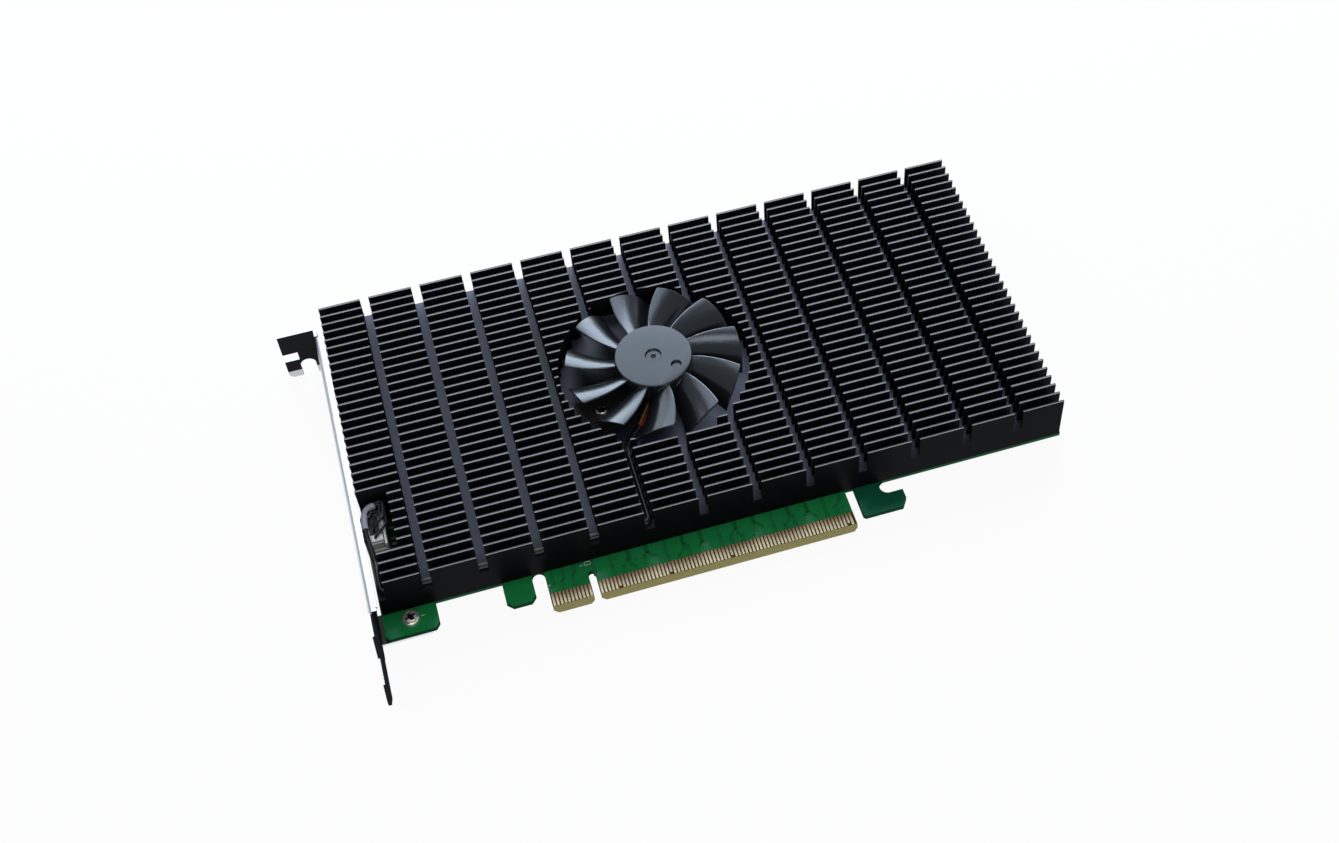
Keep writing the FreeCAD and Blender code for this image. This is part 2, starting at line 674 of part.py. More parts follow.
def screws(label, places, face, up, head_radius, head_height, shank_radius, shank_length):
    """Pan-head screws seated on one face, pointing down (up = 1) or up (up = -1)."""
    solids = []
    for number, (x, y) in enumerate(places):
        name = f"{label}_{number}"
        depth = f"{head_height} * 0.6"
        if up > 0:
            head_z = f"{face}"
            shank_z = f"{face} - {shank_length}"
            recess_z = f"{face} + {head_height} * 0.4"
            rim_z = f"{face} + {head_height} * 0.55"
        else:
            head_z = f"{face} - {head_height}"
            shank_z = f"{face}"
            recess_z = f"{face} - {head_height}"
            rim_z = f"{face} - {head_height} * 0.55"
        head = doc.addObject("Part::Cone", name + "_crown")
        wide = f"{head_radius}"
        narrow = f"{head_radius} * 0.78"
        bind(head, {"Radius1": wide if up > 0 else narrow, "Radius2": narrow if up > 0 else wide,
                    "Height": f"{head_height} * 0.45"})
        place(head, x, y, rim_z if up > 0 else f"{face} - {head_height}")
        drum = cylinder(name + "_drum", wide, f"{head_height} * 0.55", x, y, head_z if up > 0 else rim_z)
        shank = cylinder(name + "_shank", shank_radius, shank_length, x, y, shank_z)
        whole = fuse(name + "_whole", [head, drum, shank])
        recess = cross_recess(name + "_recess", f"{head_radius} * 0.26", f"{head_radius} * 1.15",
                              depth, x, y, recess_z)
        solids.append(cut(name, whole, recess))
    return keep(group(label, solids))


# ---- fan -------------------------------------------------------------------------------------

def around_fan(radius, angle):
    turn = math.radians(angle)
    return size("fan_x") + radius * math.cos(turn), size("fan_y") + radius * math.sin(turn)


def ear_angles():
    """Where the fan base's ears point."""
    count = int(size("ear_count"))
    return [size("ear_first") + 360 * step / count for step in range(count)]


def fan_screw_places():
    return [around_fan(size("ear_screw_radius"), angle) for angle in ear_angles()]


def spoke(name, width, near, far, height, z, angle):
    """A block that reaches out from the fan's axis at one angle."""
    arm = doc.addObject("Part::Box", name)
    bind(arm, {"Length": f"{far} - {near}", "Width": width, "Height": height})
    turn = math.radians(angle)
    half = f"({width}) / 2"
    bind(arm, {
        "Placement.Base.x": f"fan_x + ({near}) * {math.cos(turn):.9f} + {half} * {math.sin(turn):.9f}",
        "Placement.Base.y": f"fan_y + ({near}) * {math.sin(turn):.9f} - {half} * {math.cos(turn):.9f}",
        "Placement.Base.z": z,
    })
    arm.Placement.Rotation = Rotation(Vector(0, 0, 1), angle)
    return arm


def build_fan_base():
    """The plate with its ears, and the post that holds the bearing and the stator."""
    disc = cylinder("base_disc", "base_radius", "base_thickness", "fan_x", "fan_y", "deck_height")
    arms = [spoke(f"ear_{step}", "ear_width", "0", "ear_radius + 2", "base_thickness", "deck_height", angle)
            for step, angle in enumerate(ear_angles())]
    limit = cylinder("ear_limit", "ear_radius", "base_thickness", "fan_x", "fan_y", "deck_height")
    ears = doc.addObject("Part::MultiCommon", "ears")
    ears.Shapes = [fuse("ear_arms", arms), limit]
    plate = fuse("base_plate", [disc, ears])
    holes = [cylinder(f"ear_hole_{step}", "fan_hole_radius", "base_thickness + 2", x, y, "deck_height - 1")
             for step, (x, y) in enumerate(fan_screw_places())]
    drilled = cut("base_drilled", plate, fuse("ear_holes", holes))
    post = ring("bearing_post", "tube_radius", "bearing_radius", "post_height", "fan_x", "fan_y",
                "deck_height + base_thickness")
    base = fuse("fan_base", [drilled, post])
    return keep(base)


def build_motor():
    """Bearing, laminated core, four coils and the driver board, all round the post."""
    floor = "deck_height + base_thickness"
    bearing = ring("fan_bearing", "bearing_radius", "bearing_bore", "post_height", "fan_x", "fan_y", floor)
    keep(bearing)
    board = ring("fan_driver_board", "8.8", "tube_radius", "0.8", "fan_x", "fan_y", floor)
    keep(board)
    core_z = f"{floor} + 2.2"
    core_height = "2.8"
    collar = cylinder("core_collar", "4.1", core_height, "fan_x", "fan_y", core_z)
    arms = [spoke(f"core_arm_{n}", "2.0", "3.5", "7.4", core_height, core_z, 45 + 90 * n)
            for n in range(4)]
    shoes = ring("core_shoes", "7.8", "7.0", core_height, "fan_x", "fan_y", core_z)
    gaps = [spoke(f"core_gap_{n}", "1.6", "6", "9", f"{core_height} + 2", f"{core_z} - 1", 90 * n)
            for n in range(4)]
    split = cut("core_split_shoes", shoes, fuse("core_gaps", gaps))
    core = fuse("core_blank", [collar, split] + arms)
    bore = cylinder("core_bore", "tube_radius", f"{core_height} + 2", "fan_x", "fan_y", f"{core_z} - 1")
    keep(cut("stator_core", core, bore))
    coils = []
    for n in range(4):
        angle = 45 + 90 * n
        outer = spoke(f"coil_outer_{n}", "3.9", "4.6", "6.6", f"{core_height} + 2.6", f"{core_z} - 1.3", angle)
        inner = spoke(f"coil_inner_{n}", "2.0", "4.0", "7.2", core_height, core_z, angle)
        coils.append(cut(f"coil_{n}", outer, inner))
    keep(group("stator_coils", coils))


def blade_section(radius, lead, trail, top, bottom, thick):
    """One blade section as four edges in the plane that faces the fan's axis."""
    middle = math.radians((lead + trail) / 2)
    centre = Vector(size("fan_x") + radius * math.cos(middle), size("fan_y") + radius * math.sin(middle), 0)
    along = Vector(-math.sin(middle), math.cos(middle), 0)
    reach = radius * math.tan(math.radians((lead - trail) / 2))
    lead_point = centre + along * reach + Vector(0, 0, top - 0.25)
    trail_point = centre - along * reach + Vector(0, 0, bottom + 0.2)
    chord = lead_point - trail_point
    normal = along.cross(Vector(0, 0, 1)).cross(chord).normalize()
    if normal.z < 0:
        normal = normal * -1
    camber = chord.Length * size("blade_camber")
    centre_line = (lead_point + trail_point) * 0.5 + normal * camber
    lead_up = lead_point + normal * 0.22
    lead_down = lead_point - normal * 0.22
    trail_up = trail_point + normal * 0.18
    trail_down = trail_point - normal * 0.18
    upper = Part.Arc(lead_up, centre_line + normal * (thick / 2), trail_up).toShape()
    lower = Part.Arc(trail_down, centre_line - normal * (thick / 2), lead_down).toShape()
    front = Part.makeLine(lead_down, lead_up)
    back = Part.makeLine(trail_up, trail_down)
    return Part.Wire([upper, back, lower, front])


def build_impeller():
    """A shallow cup with eleven swept, twisted blades."""
    sections = []
    root = size("hub_radius") - 0.8
    tip = size("blade_radius") + 1.2
    steps = [0.0, 0.33, 0.66, 1.0]
    for step in steps:
        radius = root + (tip - root) * step
        lead = size("blade_lean") * (1 - step ** 1.2)
        span = size("blade_span_root") + (size("blade_span_tip") - size("blade_span_root")) * step
        rise = 0.5 * (1 - step)
        sections.append(blade_section(radius, lead, lead - span, size("blade_top") - rise,
                                      size("blade_bottom") + 0.3 * rise, size("blade_thickness")))
    blank = Part.makeLoft(sections, True, False)
    centre = Vector(size("fan_x"), size("fan_y"), 0)
    limit = Part.makeCylinder(size("blade_radius"), 30, centre)
    core = Part.makeCylinder(size("hub_radius") - 0.4, 30, centre)
    blade = blank.common(limit).cut(core)
    pitch = 360.0 / size("blade_count")
    blades = []
    for number in range(int(size("blade_count"))):
        turned = blade.copy()
        turned.rotate(centre, Vector(0, 0, 1), size("blade_first") + pitch * number)
        one = doc.addObject("Part::Feature", f"blade_{number}")
        one.Shape = turned
        blades.append(one)

    drum = cylinder("hub_drum", "hub_radius", "hub_top - hub_bottom - hub_crown", "fan_x", "fan_y", "hub_bottom")
    crown = doc.addObject("Part::Cone", "hub_edge")
    bind(crown, {"Radius1": "hub_radius", "Radius2": "hub_radius - hub_crown", "Height": "hub_crown"})
    place(crown, "fan_x", "fan_y", "hub_top - hub_crown")
    rounded = fuse("hub_rounded", [drum, crown])
    inside = cylinder("hub_inside", "hub_radius - hub_wall", "hub_top - hub_bottom - hub_wall",
                      "fan_x", "fan_y", "hub_bottom")
    recess = cylinder("hub_recess", "hub_recess_radius", "hub_recess_depth + 1", "fan_x", "fan_y",
                      "hub_top - hub_recess_depth")
    gate = cylinder("hub_gate", "hub_gate_radius", "2", "fan_x", "fan_y",
                    "hub_top - hub_recess_depth - hub_gate_depth")
    bore = cylinder("hub_bore", "shaft_radius", "shaft_grip + 1", "fan_x", "fan_y", "hub_top - hub_wall - 1")
    dimple = cylinder("hub_dimple", "hub_dimple_radius", "hub_dimple_depth + 1", "fan_x + hub_dimple_x",
                      "fan_y + hub_dimple_y", "hub_top - hub_dimple_depth")
    hub = cut("hub_hollow", rounded, fuse("hub_tools", [inside, recess, gate, bore, dimple]))
    keep(fuse("fan_impeller", [hub] + blades))

    cup_top = "hub_top - hub_wall"
    cup_outer = "hub_radius - hub_wall"
    cup = cylinder("yoke_blank", cup_outer, f"{cup_top} - hub_bottom - 0.2", "fan_x", "fan_y", "hub_bottom + 0.2")
    cup_room = cylinder("yoke_room", f"{cup_outer} - 0.5", f"{cup_top} - hub_bottom - 0.7",
                        "fan_x", "fan_y", "hub_bottom + 0.2")
    cup_bore = cylinder("yoke_bore", "shaft_radius", "3", "fan_x", "fan_y", f"{cup_top} - 2")
    keep(cut("rotor_yoke", cup, fuse("yoke_tools", [cup_room, cup_bore])))
    keep(ring("magnet_ring", f"{cup_outer} - 0.5", f"{cup_outer} - 1.3", "5.0", "fan_x", "fan_y",
              "hub_bottom + 0.4"))
    keep(cylinder("fan_shaft", "shaft_radius", "hub_top - hub_wall + shaft_grip - shaft_foot", "fan_x", "fan_y",
                  "shaft_foot"))


# ---- cable -----------------------------------------------------------------------------------

def rounded_route(points, largest):
    """Straight runs joined by tangent arcs; returns the wire, the radii and the length."""
    vectors = [Vector(*point) for point in points]
    edges = []
    radii = []
    here = vectors[0]
    for before, corner, after in zip(vectors, vectors[1:], vectors[2:]):
        first = (before - corner).normalize()
        second = (after - corner).normalize()
        half_turn = (math.pi - first.getAngle(second)) / 2
        if half_turn < 1e-3:
            continue
        shorter = min((before - corner).Length, (after - corner).Length)
        radius = min(largest, 0.45 * shorter / math.tan(half_turn))
        setback = radius * math.tan(half_turn)
        start = corner + first * setback
        end = corner + second * setback
        bisector = (first + second).normalize()
        centre = corner + bisector * (radius / math.cos(half_turn))
        middle = centre - bisector * radius
        if (start - here).Length > 1e-6:
            edges.append(Part.LineSegment(here, start).toShape())
        edges.append(Part.Arc(start, middle, end).toShape())
        radii.append(radius)
        here = end
    edges.append(Part.LineSegment(here, vectors[-1]).toShape())
    return Part.Wire(edges), radii


def tube(points, radius, largest):
    """A round solid along a rounded route."""
    route, radii = rounded_route(points, largest)
    begin = Vector(*points[0])
    heading = (Vector(*points[1]) - begin).normalize()
    profile = Part.Wire([Part.makeCircle(radius, begin, heading)])
    solid = route.makePipeShell([profile], True, False)
    ideal = math.pi * radius ** 2 * route.Length
    smallest = min(radii) if radii else 0.0
    print(f"tube r {radius:.2f} length {route.Length:.1f} smallest bend {smallest:.2f} "
          f"volume {solid.Volume:.2f} of {ideal:.2f}")
    return solid


def feature(name, shape):
    thing = doc.addObject("Part::Feature", name)
    thing.Shape = shape
    return thing


def fan_side_wire(number, mouth, mouth_way):
    """Points of one wire from the driver board, over the base plate, to the mouth of the sleeve."""
    wire = size("wire_radius")
    lane = (number - 1.5) * (2 * wire + 0.08)
    across = -wire if number < 2 else wire
    low = number in (0, 3)
    way = Vector(*around_fan(12.0, 244.5), 0) - Vector(*around_fan(9.0, 246.0), 0)
    way.normalize()
    side = Vector(-way.y, way.x, 0) * lane
    mouth_side = Vector(-mouth_way.y, mouth_way.x, 0) * across
    top = size("deck_height") + size("base_thickness") + wire + 0.02
    centre = size("deck_height") + size("sleeve_radius")
    home = Vector(*around_fan(9.0, 246.0), top) + side
    knee = Vector(*around_fan(12.7, 244.3), top) + side
    last = mouth + mouth_side + Vector(0, 0, centre + (-wire if low else wire))
    near = last - mouth_way * 1.1
    if low:
        drop = Vector(*around_fan(14.6, 243.2), last.z) + side
        return [home, knee, drop, near, last]
    return [home, knee, near, last]


def header_side_wire(number, mouth, mouth_way):
    """Points of one wire from the end of the sleeve, back over the plug and down into it."""
    wire = size("wire_radius")
    pin_x, pin_y = pin_places()[3 - number]
    plug_top = size("plug_top")
    across = -wire if number < 2 else wire
    up = -wire if number in (0, 3) else wire
    side = Vector(-mouth_way.y, mouth_way.x, 0) * across
    first = mouth + side + Vector(0, 0, up)
    reach = (1.1, 1.1, 2.1, 2.1)[number]
    out = first + mouth_way * reach
    turns = ((pin_x + 2.9, pin_y), (pin_x + 2.4, pin_y + 1.5), (pin_x + 3.2, pin_y + 2.4),
             (pin_x + 3.7, pin_y + 3.4))
    turn_height = (1.6, 2.3, 2.4, 1.2)[number]
    over_height = (1.0, 1.7, 1.4, 1.0)[number]
    turn = Vector(turns[number][0], turns[number][1], plug_top + turn_height)
    over = Vector(pin_x, pin_y, plug_top + over_height)
    return [first, out, turn, over, Vector(pin_x, pin_y, plug_top - 0.6)]


def build_cable():
    """The fan's four wires in a thin sleeve, laid between the fins and looped over to the header."""
    radius = size("sleeve_radius")
    z = size("deck_height") + radius
    fifth_channel = size("channel_first") + 4 * size("channel_pitch")
    x = fifth_channel + size("channel_width") / 2 - radius - 0.1
    front_gap = size("sink_front") + size("fin_thickness")
    y = front_gap + (size("fin_pitch") - size("fin_thickness")) / 2
    end_x = size("sink_left") + size("step_width") / 2
    start = Vector(*around_fan(18.0, 241.0), z)
    plug_top = size("plug_top")
    route = [
        tuple(start),
        (x, 39.6, z),
        (x, y, z),
        (end_x, y, z),
        (end_x, 24.0, z),
        (end_x - 0.8, 31.5, plug_top + 1.4),
        (end_x - 0.8, 36.4, plug_top + 2.2),
        (end_x + 1.2, 39.8, plug_top + 2.4),
        (end_x + 3.2, 40.2, plug_top + 2.4),
    ]
    keep(feature("fan_cable_sleeve", tube(route, radius, 1.5)))
    mouth = Vector(start.x, start.y, 0)
    mouth_way = Vector(route[1][0] - start.x, route[1][1] - start.y, 0).normalize()
    end = Vector(*route[-1])
    end_way = (end - Vector(*route[-2])).normalize()
    for number, colour in enumerate(["blue", "yellow", "red", "black"]):
        motor_run = fan_side_wire(number, mouth, mouth_way)
        header_run = header_side_wire(number, end, end_way)
        runs = [tube([tuple(point) for point in run], size("wire_radius"), 1.0)
                for run in (motor_run, header_run)]
        keep(feature(f"fan_wire_{colour}", Part.Compound(runs)))


def pin_places():
    pitch = size("pin_pitch")
    return [(size("header_x"), size("header_y") + (step - 1.5) * pitch) for step in range(4)]


def build_header():
    """A four-way header with its plug pushed in."""
    low_x = "header_x - header_width / 2"
    low_y = "header_y - header_length / 2"
    shell = box("header_blank", "header_width", "header_length", "header_height", low_x, low_y, "0")
    room = box("header_room", "header_width - 2 * header_wall", "header_length - 2 * header_wall",
               "header_height", f"{low_x} + header_wall", f"{low_y} + header_wall", "1.2")
    notch = box("header_notch", "header_wall + 2", "4.6", "3.0",
                "header_x + header_width / 2 - header_wall - 1", "header_y - 2.3", "header_height - 2.4")
    pins = [cylinder(f"header_hole_{n}", "pin_radius", "10", px, py, "-4")
            for n, (px, py) in enumerate(pin_places())]
    keep(cut("fan_header", shell, fuse("header_tools", [room, notch] + pins)))
    plug = box("plug_blank", "header_width - 2 * header_wall - 0.2", "header_length - 2 * header_wall - 0.2",
               "plug_top - 1.3", f"{low_x} + header_wall + 0.1", f"{low_y} + header_wall + 0.1", "1.3")
    latch = box("plug_latch", "1.2", "3.6", "1.6", "header_x + header_width / 2 - header_wall - 0.1",
                "header_y - 1.8", "plug_top - 2.0")
    bores = [cylinder(f"plug_hole_{n}", "pin_radius", "4.6", px, py, "1")
             for n, (px, py) in enumerate(pin_places())]
    mouths = [cylinder(f"plug_mouth_{n}", "wire_radius", "2", px, py, "plug_top - 0.6")
              for n, (px, py) in enumerate(pin_places())]
    keep(cut("fan_plug", fuse("plug_body", [plug, latch]), fuse("plug_bores", bores + mouths)))
    posts = [cylinder(f"header_pin_{n}", "pin_radius", "5.4 + 2.4", px, py, "-2.4")
             for n, (px, py) in enumerate(pin_places())]
    keep(group("header_pins", posts))


# ---- drive sockets and the parts under the heat sink ------------------------------------------

def build_sockets():
    """Four drive sockets back to back, with standoffs and screws for their drives."""
    number = 1
    seats = []
    for row in ("row_front", "row_back"):
        for start, side in (("socket_left", -1), ("socket_right", 1)):
            name = f"drive_socket_{number}"
            shell = box(name + "_shell", "socket_depth", "socket_width", "socket_height",
                        start, f"{row} - socket_width / 2", "0")
            mouth_x = f"{start} - 1" if side < 0 else f"{start} + socket_depth - 5.5"
            mouth = box(name + "_mouth", "6.5", "20.1", "1.1", mouth_x, f"{row} - 10.05", "drive_seat - 0.1")
            keep(cut(name, shell, mouth))
            edge = "socket_left + 5.5" if side < 0 else "socket_right + socket_depth - 5.5"
            seat_x = f"{edge} - drive_length" if side < 0 else f"{edge} + drive_length"
            seats.append((seat_x, row))
            pad_x = "socket_left - pad_length - 0.6" if side < 0 else "socket_right + socket_depth + 0.6"
            keep(box(f"drive_pad_{number}", "pad_length", "pad_width", "pad_thickness", pad_x,
                     f"{row} - pad_width / 2", "cavity_height - pad_thickness"))
            number += 1
    posts = [ring(f"standoff_{n}", "2.2", "0.9", "drive_seat", f"{x}", y, "0")
             for n, (x, y) in enumerate(seats)]
    keep(group("drive_standoffs", posts))
    screws("drive_screws", seats, "drive_seat", 1, "1.75", "0.8", "0.9", "1.3")


def build_small_parts():
    """The packet switch and the power parts round it."""
    keep(box("switch_chip", "chip_side", "chip_side", "chip_height", "fan_x - chip_side / 2",
             "fan_y - chip_side / 2", "0"))
    keep(box("switch_pad", "chip_side - 2", "chip_side - 2", "cavity_height - chip_height",
             "fan_x - chip_side / 2 + 1", "fan_y - chip_side / 2 + 1", "chip_height"))
    coils = [(58.0, 50.0), (58.0, 60.0), (58.0, 70.0), (0.5, 55.0), (0.5, 65.0)]
    keep(group("power_inductors", [box(f"inductor_{n}", "6.6", "6.6", "3.0", x, y, "0")
                                   for n, (x, y) in enumerate(coils)]))
    chips = [(68.0, 50.8), (68.0, 60.8), (68.0, 70.8), (-8.5 - 14, 50.0), (-8.5 - 14, 60.0)]
    keep(group("regulator_chips", [box(f"regulator_{n}", "5.0", "5.0", "0.9", x, y, "0")
                                   for n, (x, y) in enumerate(chips)]))
    places = [(48.5, 50.0 + 3.2 * n) for n in range(8)] + [(16.0, 50.0 + 3.2 * n) for n in range(8)]
    places += [(-49.35, 28.6), (-49.35, 30.4), (-49.35, 32.9), (-49.35, 34.7), (-49.35, 38.2)]
    keep(group("chip_capacitors", [box(f"capacitor_{n}", "1.6", "0.8", "0.8", x, y, "0")
                                   for n, (x, y) in enumerate(places)]))


# ---- build, check and write ------------------------------------------------------------------

build_board()
build_contacts("edge_contacts_component_side", "0", (17, 31, 48, 81))
build_contacts("edge_contacts_solder_side", "-board_thickness - contact_thickness", (1,))
build_heatsink()
screws("heatsink_screws", sink_screw_places(), "-board_thickness", -1, "2.3", "1.4", "screw_thread_radius",
       "board_thickness + 4.2")
build_bracket()
screws("bracket_screws", bracket_screw_places(), "0", 1, "2.4", "1.7", "screw_thread_radius",
       "board_thickness + plate_thickness")
build_sockets()
build_small_parts()
build_fan_base()
build_motor()
build_impeller()
screws("fan_screws", fan_screw_places(), "deck_height + base_thickness", 1, "1.9", "1.0",
       "fan_thread_radius", "3.4")
build_header()
build_cable()
doc.recompute()

faults = []
for thing in doc.Objects:
    if "Invalid" in thing.State or "Error" in thing.State:
        faults.append(f"{thing.Name} is {thing.State}")
for thing in sub_parts:
    shape = thing.Shape
    if shape.isNull() or not shape.isValid():
        faults.append(f"{thing.Label} has no valid shape")
    elif shape.Volume <= 0:
        faults.append(f"{thing.Label} has no volume")
if faults:
    raise RuntimeError("; ".join(faults))

os.makedirs("parts", exist_ok=True)
for thing in sub_parts:
    thing.Shape.exportStep(f"parts/{thing.Label}.step")
print(f"{len(sub_parts)} sub-parts written")
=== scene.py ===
"""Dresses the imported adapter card: its finishes, its fine pieces, the floor, the lights and the camera.

Lengths are in metres, except where a name or a docstring says millimetres. X runs along the card away
from its bracket, Y from the edge connector up to the far edge, and Z out of the component side.
"""
import math

import bmesh
import bpy
from mathutils import Matrix, Vector


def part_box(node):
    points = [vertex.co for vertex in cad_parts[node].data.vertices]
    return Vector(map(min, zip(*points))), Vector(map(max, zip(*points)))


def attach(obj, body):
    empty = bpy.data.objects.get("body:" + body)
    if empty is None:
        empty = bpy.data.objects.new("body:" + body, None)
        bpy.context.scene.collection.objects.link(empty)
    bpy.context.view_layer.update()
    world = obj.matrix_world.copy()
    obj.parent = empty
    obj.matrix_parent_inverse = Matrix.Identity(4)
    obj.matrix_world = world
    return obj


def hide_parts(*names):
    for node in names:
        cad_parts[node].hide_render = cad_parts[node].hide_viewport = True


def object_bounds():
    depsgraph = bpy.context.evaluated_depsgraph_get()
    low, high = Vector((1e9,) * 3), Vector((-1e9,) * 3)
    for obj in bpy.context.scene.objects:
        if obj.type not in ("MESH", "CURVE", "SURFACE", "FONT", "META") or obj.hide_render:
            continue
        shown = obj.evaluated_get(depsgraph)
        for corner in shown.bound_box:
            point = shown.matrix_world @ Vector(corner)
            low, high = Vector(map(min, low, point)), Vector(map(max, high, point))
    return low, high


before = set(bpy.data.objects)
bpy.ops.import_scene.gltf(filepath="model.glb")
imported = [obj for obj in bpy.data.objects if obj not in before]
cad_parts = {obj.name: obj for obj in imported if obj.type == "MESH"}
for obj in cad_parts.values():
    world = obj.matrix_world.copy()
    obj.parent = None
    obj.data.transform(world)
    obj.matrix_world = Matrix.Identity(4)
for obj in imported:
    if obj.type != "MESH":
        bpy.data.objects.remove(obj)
cad_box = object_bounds()

MM = 0.001
MERGE_DISTANCE = 0.002 * MM      # joins the doubled corners of a CAD mesh
BOARD_TOP = 0.0
BOARD_UNDER = -1.57 * MM
SINK_DECK = 7.2 * MM             # floor of the channels between the fins
FAN_BASE_TOP = 8.2 * MM
FIN_PITCH = 3.0 * MM
HUB_RECESS = 16.82 * MM          # middle of the dark disc of painted shade in the hub's gate dimple


# ---- materials ---------------------------------------------------------------------------------

MIX_FACTOR, MIX_FIRST, MIX_SECOND, MIX_RESULT = 0, 6, 7, 2    # the colour sockets of a Mix node
EDGE_SOFTNESS = 0.02 * MM


class Shader:
    """A node tree. What a helper makes comes back as the output that carries it."""

    def __init__(self, owner):
        owner.use_nodes = True
        self.tree = owner.node_tree
        self.tree.nodes.clear()

    def add(self, kind, values=(), **settings):
        """A node with its settings and the values of its inputs."""
        node = self.tree.nodes.new(kind)
        for key, value in settings.items():
            setattr(node, key, value)
        for key, value in dict(values).items():
            node.inputs[key].default_value = value
        return node

    def feed(self, value, socket):
        """Links an output to an input, or gives the input a plain value."""
        if isinstance(value, bpy.types.NodeSocket):
            self.tree.links.new(value, socket)
        else:
            socket.default_value = value

    def work(self, operation, first, second, clamp=False):
        """Joins two numbers by an arithmetic operation."""
        node = self.add("ShaderNodeMath", operation=operation, use_clamp=clamp)
        self.feed(first, node.inputs[0])
        self.feed(second, node.inputs[1])
        return node.outputs[0]

    def sum(self, first, second):
        return self.work("ADD", first, second, clamp=True)

    def multiply(self, first, second):
        return self.work("MULTIPLY", first, second)

    def ramp(self, value, low, high, first=0.0, last=1.0):
        """Remaps a value so that low to high becomes first to last."""
        node = self.add("ShaderNodeMapRange",
                        {"From Min": low, "From Max": high, "To Min": first, "To Max": last})
        self.feed(value, node.inputs["Value"])
        return node.outputs["Result"]

    def mix_shaders(self, share, first, second):
        node = self.add("ShaderNodeMixShader")
        for socket, value in enumerate((share, first, second)):
            self.feed(value, node.inputs[socket])
        return node.outputs[0]


class Finish(Shader):
    """One material, built back from its surface."""

    def __init__(self, name):
        self.material = bpy.data.materials.new(name)
        super().__init__(self.material)
        self.surface = self.add("ShaderNodeBsdfPrincipled")
        self.output = self.add("ShaderNodeOutputMaterial")
        self.feed(self.surface.outputs["BSDF"], self.output.inputs["Surface"])
        self.place = self.add("ShaderNodeTexCoord")

    def set(self, **values):
        """Feeds inputs of the surface by name, with _ for a space."""
        for key, value in values.items():
            self.feed(value, self.surface.inputs[key.replace("_", " ")])

    def noise(self, scale, detail=3.0, roughness=0.55, stretch=(1.0, 1.0, 1.0)):
        """Cloudy noise that stays on the object; scale is in features to the metre."""
        mapping = self.add("ShaderNodeMapping", {"Scale": stretch})
        self.feed(self.place.outputs["Object"], mapping.inputs["Vector"])
        noise = self.add("ShaderNodeTexNoise", {"Scale": scale, "Detail": detail, "Roughness": roughness})
        self.feed(mapping.outputs["Vector"], noise.inputs["Vector"])
        return noise.outputs[0]

    def colours(self, factor, first, second):
        """Blends two colours, each (red, green, blue) or an earlier blend."""
        blend = self.add("ShaderNodeMix", data_type="RGBA")
        self.feed(factor, blend.inputs[MIX_FACTOR])
        for socket, colour in ((MIX_FIRST, first), (MIX_SECOND, second)):
            self.feed((*colour, 1.0) if isinstance(colour, tuple) else colour, blend.inputs[socket])
        return blend.outputs[MIX_RESULT]

    def roughness(self, value, low, high):
        self.set(Roughness=self.ramp(value, 0.0, 1.0, low, high))

    def bump(self, value, depth, strength):
        node = self.add("ShaderNodeBump", {"Strength": strength, "Distance": depth})
        self.feed(value, node.inputs["Height"])
        self.set(Normal=node.outputs["Normal"])

    def split(self, output):
        """The X, Y and Z outputs of the object's coordinates or of its normal."""
        node = self.add("ShaderNodeSeparateXYZ")
        self.feed(self.place.outputs[output], node.inputs["Vector"])
        return node.outputs

    def along(self, axis, low, high):
        """Rises from 0 to 1 between two places along an axis; falls where low is the higher one."""
        return self.ramp(self.split("Object")[axis], low, high)

    def above(self, axis, level):
        """1 above a level along an axis, and 0 below it."""
        return self.along(axis, level - EDGE_SOFTNESS, level + EDGE_SOFTNESS)

    def facing(self, axis, low, high):
        """How far the surface faces along one axis of the object."""
        return self.ramp(self.split("Normal")[axis], low, high)


def moulded(name, dark, light, low=0.35, high=0.5, grain=900.0, depth=0.02 * MM):
    """Moulded plastic: a faint mottle, and a fine grain in the gloss and the surface."""
    finish = Finish(name)
    mottle = finish.noise(grain * 0.3, 2.0)
    finish.set(Base_Color=finish.colours(mottle, dark, light))
    finish.roughness(mottle, low, high)
    finish.bump(finish.noise(grain * 3.0, 4.0), depth, 0.5)
    return finish.material


def metal(name, dark, light, low, high, stretch=(1.0, 1.0, 1.0), shine=1.0):
    """Bare or plated metal with fine lines in its surface."""
    finish = Finish(name)
    cloud = finish.noise(120.0)
    finish.set(Metallic=shine, Base_Color=finish.colours(cloud, dark, light))
    finish.roughness(cloud, low, high)
    finish.bump(finish.noise(1500.0, 4.0, 0.6, stretch), 0.01 * MM, 0.4)
    return finish.material


